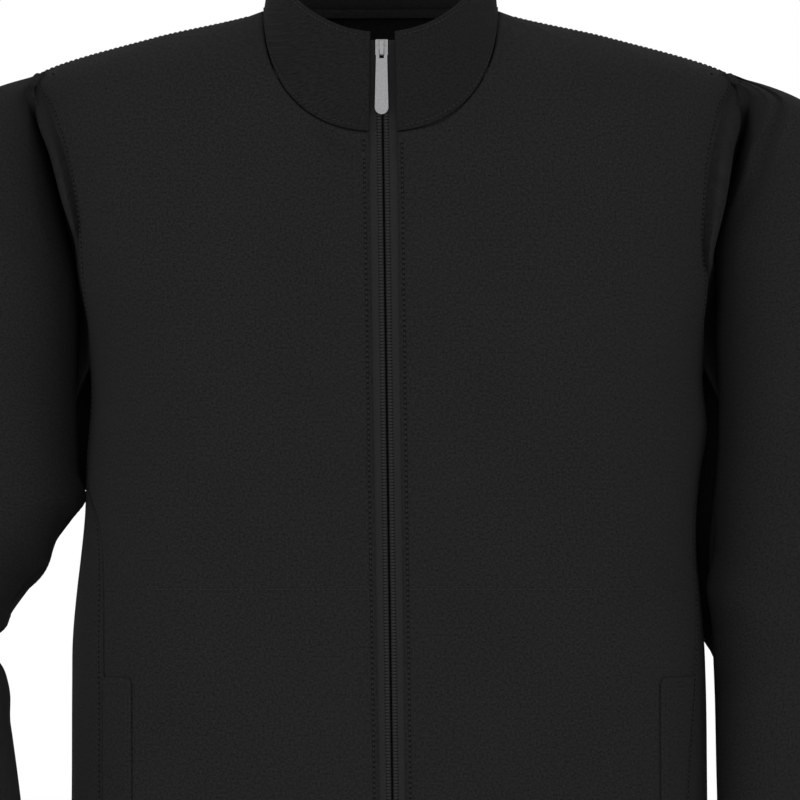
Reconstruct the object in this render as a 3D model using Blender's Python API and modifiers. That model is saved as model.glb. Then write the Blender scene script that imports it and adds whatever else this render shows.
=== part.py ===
"""Softshell jacket, filled out as worn with no wearer: panels, sleeves, collar, centre zip and pocket welts.

Metres, +Z up. The wearer faces -Y, so the wearer's right is -X. The origin is in the neck opening,
level with the points where the shoulder seams meet the neck. The neck's middle is NECK_X from it.
"""
import math

import bmesh
import bpy
import numpy as np

# Cloth and seams
WALL = 0.0016
COLLAR_WALL = 0.0024
TAPE_WALL = 0.0009
WELT_WALL = 0.0012
SEAM_GAP = 0.0004
SLEEVE_INSET = 0.0005
COLLAR_GAP = 0.0006
LAYER_GAP = 0.0003
EDGE_STEP = 0.003

# Body
MIDDLE_Y = 0.006
HEM_Z = -0.70
BODY_ROWS = 14
SHOULDER_ROWS = 6
NECK_X = -0.0105
NECK_HALF = 0.080
NECK_DROP = 0.0857
NECK_ROUND = 2.3
NECK_BACK_Z = -0.002

# Armhole, an oval in side view
ARMHOLE_Z = -0.145
ARMHOLE_HIGH = 0.100
ARMHOLE_FRONT = 0.062
ARMHOLE_BACK = 0.064
ARMHOLE_STEPS = 12
UNDERARM_STEPS = 2

# Zip
ZIP_LEAN = -0.0145
BAND_TOP = 0.0097
BAND_HEM = 0.0087
TAPE_UNDER = 0.005
TAPE_SPLIT = 0.0004
TAPE_SPREAD = 0.0017
TAPE_SHORT = 0.002
ZIP_TOP = -0.0235

# Each row is one level of the body
TORSO_COLUMNS = ("z", "middle_x", "half", "front", "back", "round")
TORSO = (
    (0.000, -0.0105, 0.0780, 0.048, 0.065, 2.00),
    (-0.002, -0.0105, 0.0803, 0.050, 0.066, 2.00),
    (-0.020, -0.0098, 0.1530, 0.066, 0.083, 2.00),
    (-0.045, -0.0085, 0.2340, 0.087, 0.100, 2.30),
    (-0.070, -0.0068, 0.2398, 0.101, 0.112, 2.40),
    (-0.100, -0.0054, 0.2372, 0.112, 0.121, 2.50),
    (-0.130, -0.0040, 0.2310, 0.121, 0.127, 2.60),
    (-0.160, -0.0030, 0.2245, 0.127, 0.130, 2.70),
    (-0.190, -0.0010, 0.2193, 0.131, 0.131, 2.80),
    (-0.220, 0.0000, 0.2115, 0.133, 0.130, 2.80),
    (-0.250, 0.0005, 0.2080, 0.134, 0.128, 2.80),
    (-0.290, 0.0010, 0.2084, 0.133, 0.124, 2.80),
    (-0.320, -0.0017, 0.2077, 0.132, 0.122, 2.80),
    (-0.350, -0.0038, 0.2080, 0.131, 0.121, 2.80),
    (-0.375, -0.0050, 0.2095, 0.130, 0.121, 2.80),
    (-0.400, -0.0052, 0.2122, 0.130, 0.122, 2.80),
    (-0.430, -0.0052, 0.2147, 0.130, 0.123, 2.80),
    (-0.460, -0.0048, 0.2155, 0.131, 0.124, 2.80),
    (-0.520, -0.0045, 0.2160, 0.132, 0.126, 2.80),
    (-0.600, -0.0045, 0.2166, 0.133, 0.128, 2.80),
    (-0.700, -0.0045, 0.2170, 0.134, 0.130, 2.80),
)

# Y of the side panel's two seams, by level
SIDE_SEAM_COLUMNS = ("z", "front_right", "front_left", "back")
SIDE_SEAMS = (
    (-0.225, -0.0250, -0.0250, 0.038),
    (-0.270, -0.0190, -0.0190, 0.044),
    (-0.300, -0.0170, -0.0170, 0.049),
    (-0.321, -0.0230, -0.0210, 0.054),
    (-0.344, -0.0530, -0.0330, 0.059),
    (-0.362, -0.0627, -0.0340, 0.063),
    (-0.378, -0.0670, -0.0360, 0.066),
    (-0.416, -0.0727, -0.0430, 0.071),
    (-0.454, -0.0750, -0.0544, 0.074),
    (-0.520, -0.0760, -0.0660, 0.077),
    (-0.700, -0.0780, -0.0780, 0.080),
)

# Each row is one section of a sleeve: inner and outer are distances from the middle plane, front
# and back are Y, strip is the cloth that lies flat beyond the armhole seam, lean and pitch tilt it
SLEEVE_COLUMNS = ("z", "inner", "outer", "front", "back", "strip", "lean", "pitch")
SLEEVE_LEFT = (
    (-0.046, 0.2260, 0.2280, -0.0020, 0.0140, 0.0000, 0.00, 0.00),
    (-0.052, 0.2325, 0.2500, -0.0200, 0.0320, 0.0030, 0.00, 0.00),
    (-0.062, 0.2405, 0.2750, -0.0370, 0.0500, 0.0080, 0.00, 0.00),
    (-0.072, 0.2425, 0.2900, -0.0470, 0.0610, 0.0130, 0.00, 0.00),
    (-0.100, 0.2380, 0.3110, -0.0600, 0.0720, 0.0140, 0.00, 0.00),
    (-0.125, 0.2315, 0.3220, -0.0660, 0.0760, 0.0135, 0.00, 0.00),
    (-0.150, 0.2230, 0.3300, -0.0700, 0.0780, 0.0100, 0.00, 0.00),
    (-0.170, 0.2192, 0.3340, -0.0715, 0.0780, 0.0050, 0.00, 0.00),
    (-0.185, 0.2183, 0.3360, -0.0720, 0.0770, 0.0024, 0.00, 0.00),
    (-0.215, 0.2176, 0.3380, -0.0710, 0.0740, 0.0000, 0.00, 0.00),
    (-0.267, 0.2190, 0.3390, -0.0700, 0.0710, 0.0000, 0.00, 0.00),
    (-0.321, 0.2169, 0.3360, -0.0670, 0.0660, 0.0000, 0.00, 0.00),
    (-0.362, 0.2130, 0.3280, -0.0640, 0.0610, 0.0000, 0.00, -0.03),
    (-0.397, 0.2132, 0.3200, -0.0620, 0.0560, 0.0000, 0.00, -0.06),
    (-0.430, 0.2150, 0.3150, -0.0630, 0.0510, 0.0000, 0.00, -0.09),
    (-0.462, 0.2163, 0.3110, -0.0650, 0.0450, 0.0000, -0.01, -0.12),
    (-0.520, 0.2175, 0.3050, -0.0690, 0.0330, 0.0000, -0.02, -0.15),
    (-0.600, 0.2195, 0.2990, -0.0750, 0.0130, 0.0000, -0.02, -0.16),
    (-0.675, 0.2215, 0.2950, -0.0810, 0.0000, 0.0000, -0.02, -0.16),
)
SLEEVE_RIGHT = (
    (-0.046, 0.2430, 0.2450, -0.0020, 0.0140, 0.0000, 0.00, 0.00),
    (-0.052, 0.2480, 0.2660, -0.0200, 0.0320, 0.0025, 0.00, 0.00),
    (-0.062, 0.2515, 0.2880, -0.0370, 0.0500, 0.0065, 0.00, 0.00),
    (-0.072, 0.2500, 0.3030, -0.0470, 0.0610, 0.0100, 0.00, 0.00),
    (-0.103, 0.2425, 0.3270, -0.0600, 0.0720, 0.0095, 0.00, 0.00),
    (-0.131, 0.2355, 0.3400, -0.0660, 0.0760, 0.0080, 0.00, 0.00),
    (-0.158, 0.2292, 0.3490, -0.0690, 0.0780, 0.0030, 0.00, 0.00),
    (-0.185, 0.2232, 0.3560, -0.0710, 0.0770, 0.0020, 0.00, 0.00),
    (-0.212, 0.2203, 0.3600, -0.0700, 0.0740, 0.0000, 0.00, 0.00),
    (-0.245, 0.2178, 0.3630, -0.0680, 0.0710, 0.0000, 0.00, 0.00),
    (-0.294, 0.2162, 0.3660, -0.0630, 0.0660, 0.0000, 0.00, 0.00),
    (-0.321, 0.2142, 0.3680, -0.0600, 0.0620, 0.0000, 0.00, 0.00),
    (-0.334, 0.2115, 0.3690, -0.0590, 0.0610, 0.0000, 0.00, 0.00),
    (-0.348, 0.2215, 0.3705, -0.0580, 0.0600, 0.0000, 0.00, -0.02),
    (-0.367, 0.2332, 0.3725, -0.0580, 0.0600, 0.0000, -0.01, -0.05),
    (-0.394, 0.2462, 0.3765, -0.0580, 0.0610, 0.0000, -0.04, -0.10),
    (-0.416, 0.2618, 0.3790, -0.0580, 0.0620, 0.0000, -0.08, -0.17),
    (-0.437, 0.2715, 0.3790, -0.0600, 0.0580, 0.0000, -0.13, -0.25),
    (-0.462, 0.2672, 0.3740, -0.0660, 0.0470, 0.0000, -0.18, -0.34),
    (-0.520, 0.2580, 0.3570, -0.0860, 0.0140, 0.0000, -0.21, -0.42),
    (-0.580, 0.2500, 0.3390, -0.1070, -0.0210, 0.0000, -0.21, -0.43),
    (-0.640, 0.2430, 0.3220, -0.1270, -0.0480, 0.0000, -0.21, -0.43),
)
SLEEVE_ROUND = 2.15
SLEEVE_POINTS = 28
SLEEVE_RINGS = 16
VALLEY_SHARE = 0.16
STRIP_TURN = 0.35
GUSSET = 0.022

# The crease between body and sleeve: the angle from the arm's outer side at which the sleeve's tube
# starts before and behind, in degrees, and how far each sleeve lies against the body, 0 to 1
CREASE_COLUMNS = ("z", "before", "behind", "right", "left")
CREASES = (
    (-0.046, 100, 100, 0.0, 0.0),
    (-0.052, 110, 100, 0.0, 0.0),
    (-0.062, 130, 104, 0.0, 0.0),
    (-0.072, 152, 110, 0.0, 0.0),
    (-0.090, 170, 116, 0.0, 0.0),
    (-0.130, 175, 130, 0.0, 0.0),
    (-0.170, 175, 142, 0.0, 0.0),
    (-0.200, 172, 152, 0.0, 0.0),
    (-0.236, 170, 160, 1.0, 1.0),
    (-0.325, 170, 160, 1.0, 1.0),
    (-0.347, 170, 160, 0.0, 1.0),
    (-0.425, 170, 160, 0.0, 1.0),
    (-0.460, 170, 160, 0.0, 0.0),
    (-0.700, 170, 160, 0.0, 0.0),
)
HUG_GAP = 0.0020
HUG_START = 0.25
HUG_FULL = 0.60
HUG_DEPTH = (0.014, 0.040)

# Large folds of the sleeves: level, place round the tube (0 inner seam, 0.25 front, 0.5 outer),
# slope of the fold in metres of level for one whole turn, half width, half reach round, height
FOLD_COLUMNS = ("z", "place", "slope", "width", "reach", "height")
FOLDS_RIGHT = (
    (-0.398, 0.150, 0.10, 0.013, 0.20, -0.0055),
    (-0.424, 0.130, 0.04, 0.010, 0.17, 0.0045),
    (-0.446, 0.140, -0.04, 0.012, 0.18, -0.0050),
    (-0.372, 0.180, 0.22, 0.014, 0.16, 0.0035),
    (-0.480, 0.200, -0.12, 0.016, 0.18, 0.0030),
    (-0.340, 0.780, -0.15, 0.018, 0.16, -0.0030),
    (-0.560, 0.300, 0.10, 0.014, 0.16, -0.0022),
    (-0.610, 0.220, -0.08, 0.014, 0.20, 0.0022),
)
FOLDS_LEFT = (
    (-0.455, 0.250, 0.10, 0.013, 0.14, -0.0025),
    (-0.400, 0.180, -0.12, 0.016, 0.16, 0.0030),
    (-0.360, 0.200, 0.14, 0.018, 0.18, -0.0025),
    (-0.430, 0.780, 0.12, 0.016, 0.18, 0.0030),
    (-0.390, 0.760, -0.10, 0.016, 0.18, -0.0030),
    (-0.560, 0.260, 0.08, 0.015, 0.20, 0.0022),
    (-0.610, 0.230, -0.06, 0.014, 0.22, -0.0022),
)

# Collar
COLLAR_TOP_FRONT = -0.018
COLLAR_TOP_BACK = 0.062
COLLAR_TOP_BEND = 1.6
COLLAR_TOP_HALF = 0.072
COLLAR_FRONT_Y = -0.100
COLLAR_BACK_Y = 0.066

# Pocket welts, on the fronts beside the side panels' seams
WELT_TOP = -0.454
WELT_BOTTOM = -0.618
WELT_INNER_X = 0.1782

# Slider, tab and retainer box
SLIDER_WIDE = 0.0085
SLIDER_HIGH = 0.0110
SLIDER_WING = 0.0018
BRIDGE_WIDE = 0.0028
BRIDGE_HIGH = 0.0080
BRIDGE_GAP = 0.0034
BRIDGE_BAR = 0.0018
TAB_WIDE = 0.0088
TAB_HEAD = 0.0036
TAB_LONG = 0.0450
TAB_WALL = 0.0016
BOX_WIDE = 0.0090
BOX_HIGH = 0.0110
BOX_WALL = 0.0024


def curve(table, columns, name, at):
    """A smooth curve through one column of a table, read at the levels given."""
    rows = np.array(table)[::-1]
    x = rows[:, 0]
    y = rows[:, columns.index(name)]
    slope = np.gradient(y, x)
    at = np.clip(np.asarray(at, float), x[0], x[-1])
    i = np.clip(np.searchsorted(x, at) - 1, 0, len(x) - 2)
    step = x[i + 1] - x[i]
    t = (at - x[i]) / step
    rise = y[i] * (1 + 2 * t) * (1 - t) ** 2 + y[i + 1] * t**2 * (3 - 2 * t)
    return rise + step * (slope[i] * t * (1 - t) ** 2 - slope[i + 1] * t**2 * (1 - t))


def torso_size(z):
    return [curve(TORSO, TORSO_COLUMNS, name, z) for name in TORSO_COLUMNS[1:]]


def point_at_y(side, y, z):
    """The body's surface at a depth and level. Side is -1 on the wearer's right, 1 on the left."""
    middle, half, front, back, roundness = torso_size(z)
    depth = np.where(y < MIDDLE_Y, front, back)
    share = np.clip(np.abs(y - MIDDLE_Y) / depth, 0, 1)
    x = middle + side * half * (1 - share**roundness) ** (1 / roundness)
    return np.stack(np.broadcast_arrays(x, y, z), axis=-1)


def front_at_x(x, z):
    """The body's front surface at a distance from the middle plane and a level."""
    middle, half, front, _, roundness = torso_size(z)
    share = np.clip(np.abs(x - middle) / half, 0, 1)
    y = MIDDLE_Y - front * (1 - share**roundness) ** (1 / roundness)
    return np.stack(np.broadcast_arrays(x, y, z), axis=-1)


def angle_of(point):
    """Direction of a surface point about the body's middle line at its level, 0 at +X."""
    middle = torso_size(point[..., 2])[0]
    return np.arctan2(point[..., 1] - MIDDLE_Y, point[..., 0] - middle)


def torso(angle, z):
    """The body's surface in a direction about its middle line, at a level."""
    middle, half, front, back, roundness = torso_size(z)
    depth = np.where(np.sin(angle) < 0, front, back)
    flat = (np.abs(np.cos(angle)) / half) ** roundness + (np.abs(np.sin(angle)) / depth) ** roundness
    radius = flat ** (-1 / roundness)
    x = middle + radius * np.cos(angle)
    y = MIDDLE_Y + radius * np.sin(angle)
    return np.stack(np.broadcast_arrays(x, y, z), axis=-1)


def armhole(turn, front, grow):
    """Depth and level on the armhole, turn running from 0 at the top to pi under the arm."""
    reach = -(ARMHOLE_FRONT + grow) if front else ARMHOLE_BACK + grow
    return MIDDLE_Y + reach * np.sin(turn), ARMHOLE_Z + (ARMHOLE_HIGH + grow) * np.cos(turn)


def armhole_depth(z, front):
    """Y of the body panels' edge at the armhole, or of the shoulder seam above it."""
    grow = SEAM_GAP / 2
    reach = -(ARMHOLE_FRONT + grow) if front else ARMHOLE_BACK + grow
    share = np.clip((z - ARMHOLE_Z) / (ARMHOLE_HIGH + grow), -1, 1)
    seam = -SEAM_GAP / 2 if front else SEAM_GAP / 2
    return MIDDLE_Y + reach * np.sqrt(1 - share**2) + seam


def zip_x(z):
    return ZIP_LEAN * (np.asarray(z) - HEM_Z)


def band(z):
    """Half the width of the zip that shows between the fronts."""
    return BAND_HEM + (BAND_TOP - BAND_HEM) * (np.asarray(z) - HEM_Z) / (ZIP_TOP - HEM_Z)


def neckline(x):
    """Level of the front neckline at a distance from the neck's middle."""
    share = np.clip(np.abs(x - NECK_X) / NECK_HALF, 0, 1)
    return -NECK_DROP * (1 - share**NECK_ROUND) ** (1 / NECK_ROUND)


def neckline_reach(z):
    """Distance of the front neckline from the neck's middle, at a level."""
    share = np.clip(np.abs(z) / NECK_DROP, 0, 1)
    return NECK_HALF * (1 - share**NECK_ROUND) ** (1 / NECK_ROUND)


def steps(count, edge=0.0):
    """Shares from 0 to 1 with a narrow first and last step, which keeps the wall square at a seam."""
    if not edge:
        return np.linspace(0, 1, count + 1)
    return np.concatenate([[0], np.linspace(edge, 1 - edge, count - 1), [1]])


def shell(name, grid, wall, material, outward=False, seam=False):
    """A wall on a grid of points. Its points are the outer face, or the inner one if outward."""
    rows, cols = grid.shape[:2]
    corner = np.arange(rows * cols).reshape(rows, cols)
    quads = np.stack([corner[:-1, :-1], corner[:-1, 1:], corner[1:, 1:], corner[1:, :-1]], axis=-1)
    mesh = bpy.data.meshes.new(name)
    mesh.from_pydata(grid.reshape(-1, 3).tolist(), [], quads.reshape(-1, 4).tolist())
    if seam:
        weld(mesh)
    mesh.shade_smooth()
    piece = add(name, mesh, material)
    solid = piece.modifiers.new("wall", "SOLIDIFY")
    solid.thickness = wall
    solid.offset = 1 if outward else -1
    return piece


def weld(mesh):
    work = bmesh.new()
    work.from_mesh(mesh)
    bmesh.ops.remove_doubles(work, verts=work.verts, dist=0.00001)
    work.to_mesh(mesh)
    work.free()


def add(name, mesh, material):
    piece = bpy.data.objects.new(name, mesh)
    mesh.materials.append(material)
    bpy.data.collections["softshell_jacket"].objects.link(piece)
    return piece


def finish(name, colour, roughness, metallic=0.0):
    material = bpy.data.materials.new(name)
    material.use_nodes = True
    shader = material.node_tree.nodes["Principled BSDF"]
    shader.inputs["Base Color"].default_value = (*colour, 1)
    shader.inputs["Roughness"].default_value = roughness
    shader.inputs["Metallic"].default_value = metallic
    return material


def lower_levels():
    """Levels from the hem to the side panels' upper corners, shared by the panels that meet there."""
    return HEM_Z + (armhole_levels()[0] - HEM_Z) * steps(BODY_ROWS)


def armhole_levels():
    turns = np.linspace(math.pi, 0, ARMHOLE_STEPS + 1)[UNDERARM_STEPS:]
    return armhole(turns, True, SEAM_GAP / 2)[1]


def front_levels():
    """Levels of a front panel, closer where the neckline turns."""
    turns = np.radians((7, 14, 21, 29, 38))
    neck = neckline(NECK_X + NECK_HALF * np.sin(turns))
    top = np.linspace(armhole_levels()[-1], NECK_BACK_Z, SHOULDER_ROWS + 1)[1:]
    body = armhole_levels()
    body = body[np.min(np.abs(body[:, None] - neck), axis=1) > EDGE_STEP]
    return np.sort(np.concatenate([lower_levels()[:-1], body, neck, top]))


def seam_depth(z, side, front):
    """Y of the side panel's seam below the armhole, and of the armhole above its lower corner."""
    name = "back" if not front else "front_left" if side > 0 else "front_right"
    seam = curve(SIDE_SEAMS, SIDE_SEAM_COLUMNS, name, z)
    corner_y, corner_z = armhole(math.pi * (1 - UNDERARM_STEPS / ARMHOLE_STEPS), front, SEAM_GAP / 2)
    share = np.clip((z - corner_z + 0.04) / 0.04, 0, 1)
    seam = seam + (corner_y - seam) * share**2
    return np.where(z < corner_z, seam, armhole_depth(z, front))


def front_panel(side, cols=12):
    """Grid of a front panel from the zip and the neckline to the side panel, armhole and shoulder."""
    z = front_levels()
    edge_x = zip_x(z) + side * band(z)
    corner = neckline(edge_x)
    inner_x = np.where(z < corner, edge_x, NECK_X + side * neckline_reach(z))
    start = angle_of(front_at_x(inner_x, z))
    end = angle_of(point_at_y(side, seam_depth(z, side, True) - SEAM_GAP / 2, z))
    end = np.where(end > math.pi / 2, end - 2 * math.pi, end)
    start = np.where(start > math.pi / 2, start - 2 * math.pi, start)
    share = steps(cols, 0.03)
    angles = start[:, None] + (end - start)[:, None] * share
    return torso(angles, z[:, None])


def back_panel(cols=20):
    """Grid of the back between the side panels, the armholes, the shoulder seams and the neck."""
    top = np.linspace(armhole_levels()[-1], NECK_BACK_Z, SHOULDER_ROWS + 1)[1:]
    z = np.concatenate([lower_levels()[:-1], armhole_levels(), top])
    start = angle_of(point_at_y(1, seam_depth(z, 1, False) + SEAM_GAP / 2, z))
    end = angle_of(point_at_y(-1, seam_depth(z, -1, False) + SEAM_GAP / 2, z))
    angles = start[:, None] + (end - start)[:, None] * steps(cols, 0.02)
    return torso(angles, z[:, None])


def halved(values):
    """The values with one more halfway between each two."""
    return np.interp(np.arange(0, len(values) - 0.5, 0.5), np.arange(len(values)), values)


def side_panel(side):
    """Grid of a side panel, whose top edge is the lowest stretch of the armhole."""
    turns = np.linspace(math.pi, 0, ARMHOLE_STEPS + 1)[: UNDERARM_STEPS + 1]
    front_y, front_z = armhole(turns[::-1], True, SEAM_GAP / 2)
    back_y, back_z = armhole(turns[1:], False, SEAM_GAP / 2)
    top_y = halved(np.concatenate([front_y, back_y]))
    top_z = halved(np.concatenate([front_z, back_z]))
    share = (top_y - top_y[0]) / (top_y[-1] - top_y[0])
    z = HEM_Z + (top_z - HEM_Z) * steps(BODY_ROWS)[:, None]
    start = seam_depth(z, side, True) + SEAM_GAP / 2
    end = seam_depth(z, side, False) - SEAM_GAP / 2
    return point_at_y(side, start + (end - start) * share, z)


def smooth_path(keys, share):
    """A rounded path through three points, for shares from 0 to 1."""
    a, b, c = (key[:, None, :] for key in keys)
    t = share[None, :, None]
    bend = 2 * b - (a + c) / 2
    return a * (1 - t) ** 2 + 2 * bend * t * (1 - t) + c * t**2


def fold_height(folds, u, z):
    """Height of the sleeve's large folds at places round the tube and levels."""
    height = np.zeros(np.broadcast(u, z).shape)
    for row in folds:
        fold = dict(zip(FOLD_COLUMNS, row))
        away = (u - fold["place"] + 0.5) % 1 - 0.5
        line = fold["z"] + fold["slope"] * away
        height += fold["height"] * np.exp(-(((z - line) / fold["width"]) ** 2) - (away / fold["reach"]) ** 4)
    return height


def ramp(value, start, full):
    """0 before start and 1 past full, with a soft rise between."""
    share = np.clip((value - start) / (full - start), 0, 1)
    return share**2 * (3 - 2 * share)


def sleeve_ends(side, turn, z, tube, inner_line, strip, angle, is_front):
    """The crease's three lines: seam, crest of the strip beyond it, and the crease's depth."""
    y, level = armhole(turn, is_front, -SLEEVE_INSET)
    seam = point_at_y(side, y, level)[:, :2] * (side, 1)
    under = np.clip((ARMHOLE_Z - ARMHOLE_HIGH - z) / GUSSET, 0, 1)[:, None]
    seam = seam + (inner_line - seam) * under
    valley = tube(angle[:, None])[:, 0]
    outward = np.array([1, STRIP_TURN])
    raised = np.clip(strip / 0.004, 0, 1)[:, None] if is_front else 0.0
    crest = (seam + valley) / 2 * (1 - raised) + (seam + strip[:, None] * outward) * raised
    return seam, crest, valley


def sleeve_section(table, side, turn, z, points):
    """Sections of a sleeve as (distance from the middle plane, Y), their middles and half sizes."""
    inner, outer, front, back, strip = (
        curve(table, SLEEVE_COLUMNS, name, z) for name in ("inner", "outer", "front", "back", "strip")
    )
    before, behind = (np.radians(curve(CREASES, CREASE_COLUMNS, name, z)) for name in ("before", "behind"))
    middle = np.stack([(inner + outer) / 2, (front + back) / 2], axis=-1)
    half = np.stack([(outer - inner) / 2, (back - front) / 2], axis=-1)

    def tube(angle):
        swing = np.stack([np.cos(angle), -np.sin(angle)], axis=-1)
        swing = np.sign(swing) * np.abs(swing) ** (2 / SLEEVE_ROUND)
        return middle[:, None, :] + half[:, None, :] * swing

    inner_line = np.stack([inner, middle[:, 1]], axis=-1)
    front_ends = sleeve_ends(side, turn, z, tube, inner_line, strip, before, True)
    back_ends = sleeve_ends(side, turn, z, tube, inner_line, strip, -behind, False)
    u = steps(points)
    near = u[u < VALLEY_SHARE] / VALLEY_SHARE
    sweep = (u[(u >= VALLEY_SHARE) & (u <= 1 - VALLEY_SHARE)] - VALLEY_SHARE) / (1 - 2 * VALLEY_SHARE)
    face = tube(before[:, None] - (before + behind)[:, None] * sweep)
    flat = np.concatenate([smooth_path(front_ends, near), face, smooth_path(back_ends, near)[:, ::-1]], axis=1)
    return flat, middle, half


def hugged(flat, side, z, level, middle, half):
    """The sections' inner rear side laid along the body, a little clear of it."""
    hug = np.clip(curve(CREASES, CREASE_COLUMNS, "left" if side > 0 else "right", z), 0, 1)[:, None]
    body = side * point_at_y(side, flat[..., 1], level)[..., 0] + HUG_GAP
    inward = (middle[:, None, 0] - flat[..., 0]) / half[:, None, 0]
    rear = ramp(flat[..., 1] - middle[:, None, 1], *HUG_DEPTH)
    weight = hug * rear * ramp(inward, HUG_START, HUG_FULL)
    flat = flat.copy()
    flat[..., 0] += weight * (body - flat[..., 0])
    return flat


def sleeve(table, folds, side, points=SLEEVE_POINTS, rings=SLEEVE_RINGS):
    """Grid of a sleeve, open rows at the armhole and closed rings below it."""
    turn = np.linspace(0, math.pi, ARMHOLE_STEPS + 1)
    turn[0] = turn[1] / 2
    z = armhole(turn, True, -SLEEVE_INSET)[1]
    z = np.concatenate([z, z[-1] + (table[-1][0] - z[-1]) * steps(rings)[1:]])
    turn = np.concatenate([turn, np.full(rings, math.pi)])
    flat, middle, half = sleeve_section(table, side, turn, z, points)
    lean, pitch = (curve(table, SLEEVE_COLUMNS, name, z)[:, None] for name in ("lean", "pitch"))
    off = flat - middle[:, None, :]
    level = z[:, None] + lean * off[..., 0] + pitch * off[..., 1]
    out = off / np.maximum(np.linalg.norm(off, axis=-1, keepdims=True), 1e-6)
    flat = flat + out * fold_height(folds, steps(points), z[:, None])[..., None]
    flat = hugged(flat, side, z, level, middle, half)
    return np.stack([side * flat[..., 0], flat[..., 1], level], axis=-1)


def collar_top(turn):
    """Level of the collar's top edge, low at the zip and high behind the neck."""
    ahead = (1 + np.cos(turn)) / 2
    return COLLAR_TOP_FRONT + (COLLAR_TOP_BACK - COLLAR_TOP_FRONT) * (1 - ahead**COLLAR_TOP_BEND)


def collar_grid(cols=40, rows=3):
    """Grid of the collar from one side of the zip, round the back, to the other."""
    base_x = zip_x(-NECK_DROP) + np.array([1, -1]) * band(-NECK_DROP) - NECK_X
    first = math.asin(base_x[0] / NECK_HALF)
    last = 2 * math.pi + math.asin(base_x[1] / NECK_HALF)
    turn = first + (last - first) * steps(cols, 0.014)
    return collar(turn[None, :], steps(rows)[:, None])


def collar(turn, share):
    """The collar's surface: turn is 0 at the front and pi at the back, share 0 at the neck."""
    sway = np.sin(turn)
    ahead = np.cos(turn) > 0
    x = NECK_X + (NECK_HALF - COLLAR_GAP) * sway
    z = np.where(ahead, neckline(NECK_X + NECK_HALF * sway) + COLLAR_GAP, NECK_BACK_Z + LAYER_GAP)
    base_back = MIDDLE_Y - (curve(TORSO, TORSO_COLUMNS, "back", z) - COLLAR_GAP) * np.cos(turn)
    base_y = np.where(ahead, front_at_x(x, z)[..., 1], base_back)
    high = collar_top(turn)
    reach = np.where(ahead, COLLAR_FRONT_Y - MIDDLE_Y, MIDDLE_Y - COLLAR_BACK_Y)
    top_x = NECK_X + COLLAR_TOP_HALF * sway
    top_y = MIDDLE_Y + reach * np.cos(turn)
    base = np.stack(np.broadcast_arrays(x, base_y, z), axis=-1)
    top = np.stack(np.broadcast_arrays(top_x, top_y, high), axis=-1)
    return base + (top - base) * np.asarray(share)[..., None]


def zip_line(z, offset):
    """Points on the tapes' outer face, at offsets from the zip's middle, behind the fronts' wall."""
    x = zip_x(z) + offset
    turn = np.arcsin((x - NECK_X) / NECK_HALF)
    base = neckline(x) + COLLAR_GAP
    share = np.maximum((z - base) / (collar_top(turn) - base), 0)
    y = np.where(z < base, front_at_x(x, z)[..., 1], collar(turn, share)[..., 1])
    deeper = np.clip((z + NECK_DROP + 0.026) / 0.022, 0, 1)
    inward = WALL + LAYER_GAP + (COLLAR_WALL - WALL + 2 * LAYER_GAP) * deeper
    return np.stack(np.broadcast_arrays(x, y + inward, z), axis=-1)


def zip_tape(side):
    """Grid of one tape, which spreads a little at its top to pass the slider's post."""
    z = np.concatenate([np.linspace(HEM_Z + TAPE_SHORT, -0.106, 15), np.linspace(-0.088, ZIP_TOP, 9)])
    inner = TAPE_SPLIT + TAPE_SPREAD * np.clip((z - ZIP_TOP) / 0.008 + 1, 0, 1)
    outer = band(z) + TAPE_UNDER
    offset = side * (inner[:, None] + (outer - inner)[:, None] * steps(3))
    return zip_line(z[:, None], offset)


def welt(side):
    """Grid of a pocket's welt: points of the front panel, moved out."""
    z = np.linspace(WELT_TOP, WELT_BOTTOM, 9)
    start = angle_of(front_at_x(side * WELT_INNER_X, z))
    end = angle_of(point_at_y(side, seam_depth(z, side, True) - 0.0012, z))
    start = np.where(start > math.pi / 2, start - 2 * math.pi, start)
    end = np.where(end > math.pi / 2, end - 2 * math.pi, end)
    angles = start[:, None] + (end - start)[:, None] * steps(4)
    points = torso(angles, z[:, None])
    near = torso(angles + 0.01, z[:, None]) - torso(angles - 0.01, z[:, None])
    out = np.stack([near[..., 1], -near[..., 0], 0 * near[..., 0]], axis=-1)
    out = out / np.linalg.norm(out, axis=-1, keepdims=True)
    return points + out * LAYER_GAP


def block(name, low, high, material, bevel):
    """A box between two corners with rounded edges."""
    mesh = bpy.data.meshes.new(name)
    work = bmesh.new()
    bmesh.ops.create_cube(work, size=1)
    for vert in work.verts:
        vert.co = [top if side > 0 else bottom for side, bottom, top in zip(vert.co, low, high)]
    bmesh.ops.bevel(work, geom=work.edges[:], offset=bevel, segments=2, affect="EDGES", profile=0.5)
    work.to_mesh(mesh)
    work.free()
    return add(name, mesh, material)


def centred_block(name, middle, size, material, bevel):
    low = [m - s / 2 for m, s in zip(middle, size)]
    high = [m + s / 2 for m, s in zip(middle, size)]
    return block(name, low, high, material, bevel)


def join(piece, others):
    """Adds other solids to a piece and removes the objects that held them."""
    for other in others:
        union = piece.modifiers.new("join", "BOOLEAN")
        union.operation = "UNION"
        union.object = other
    graph = bpy.context.evaluated_depsgraph_get()
    mesh = bpy.data.meshes.new_from_object(piece.evaluated_get(graph))
    piece.modifiers.clear()
    piece.data = mesh
    for other in others:
        bpy.data.objects.remove(other)


def tape_face(z):
    """X and Y of the tapes' outer face at the zip's middle."""
    point = zip_line(np.array([z]), 0.0)[0]
    return point[0], point[1]


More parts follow.
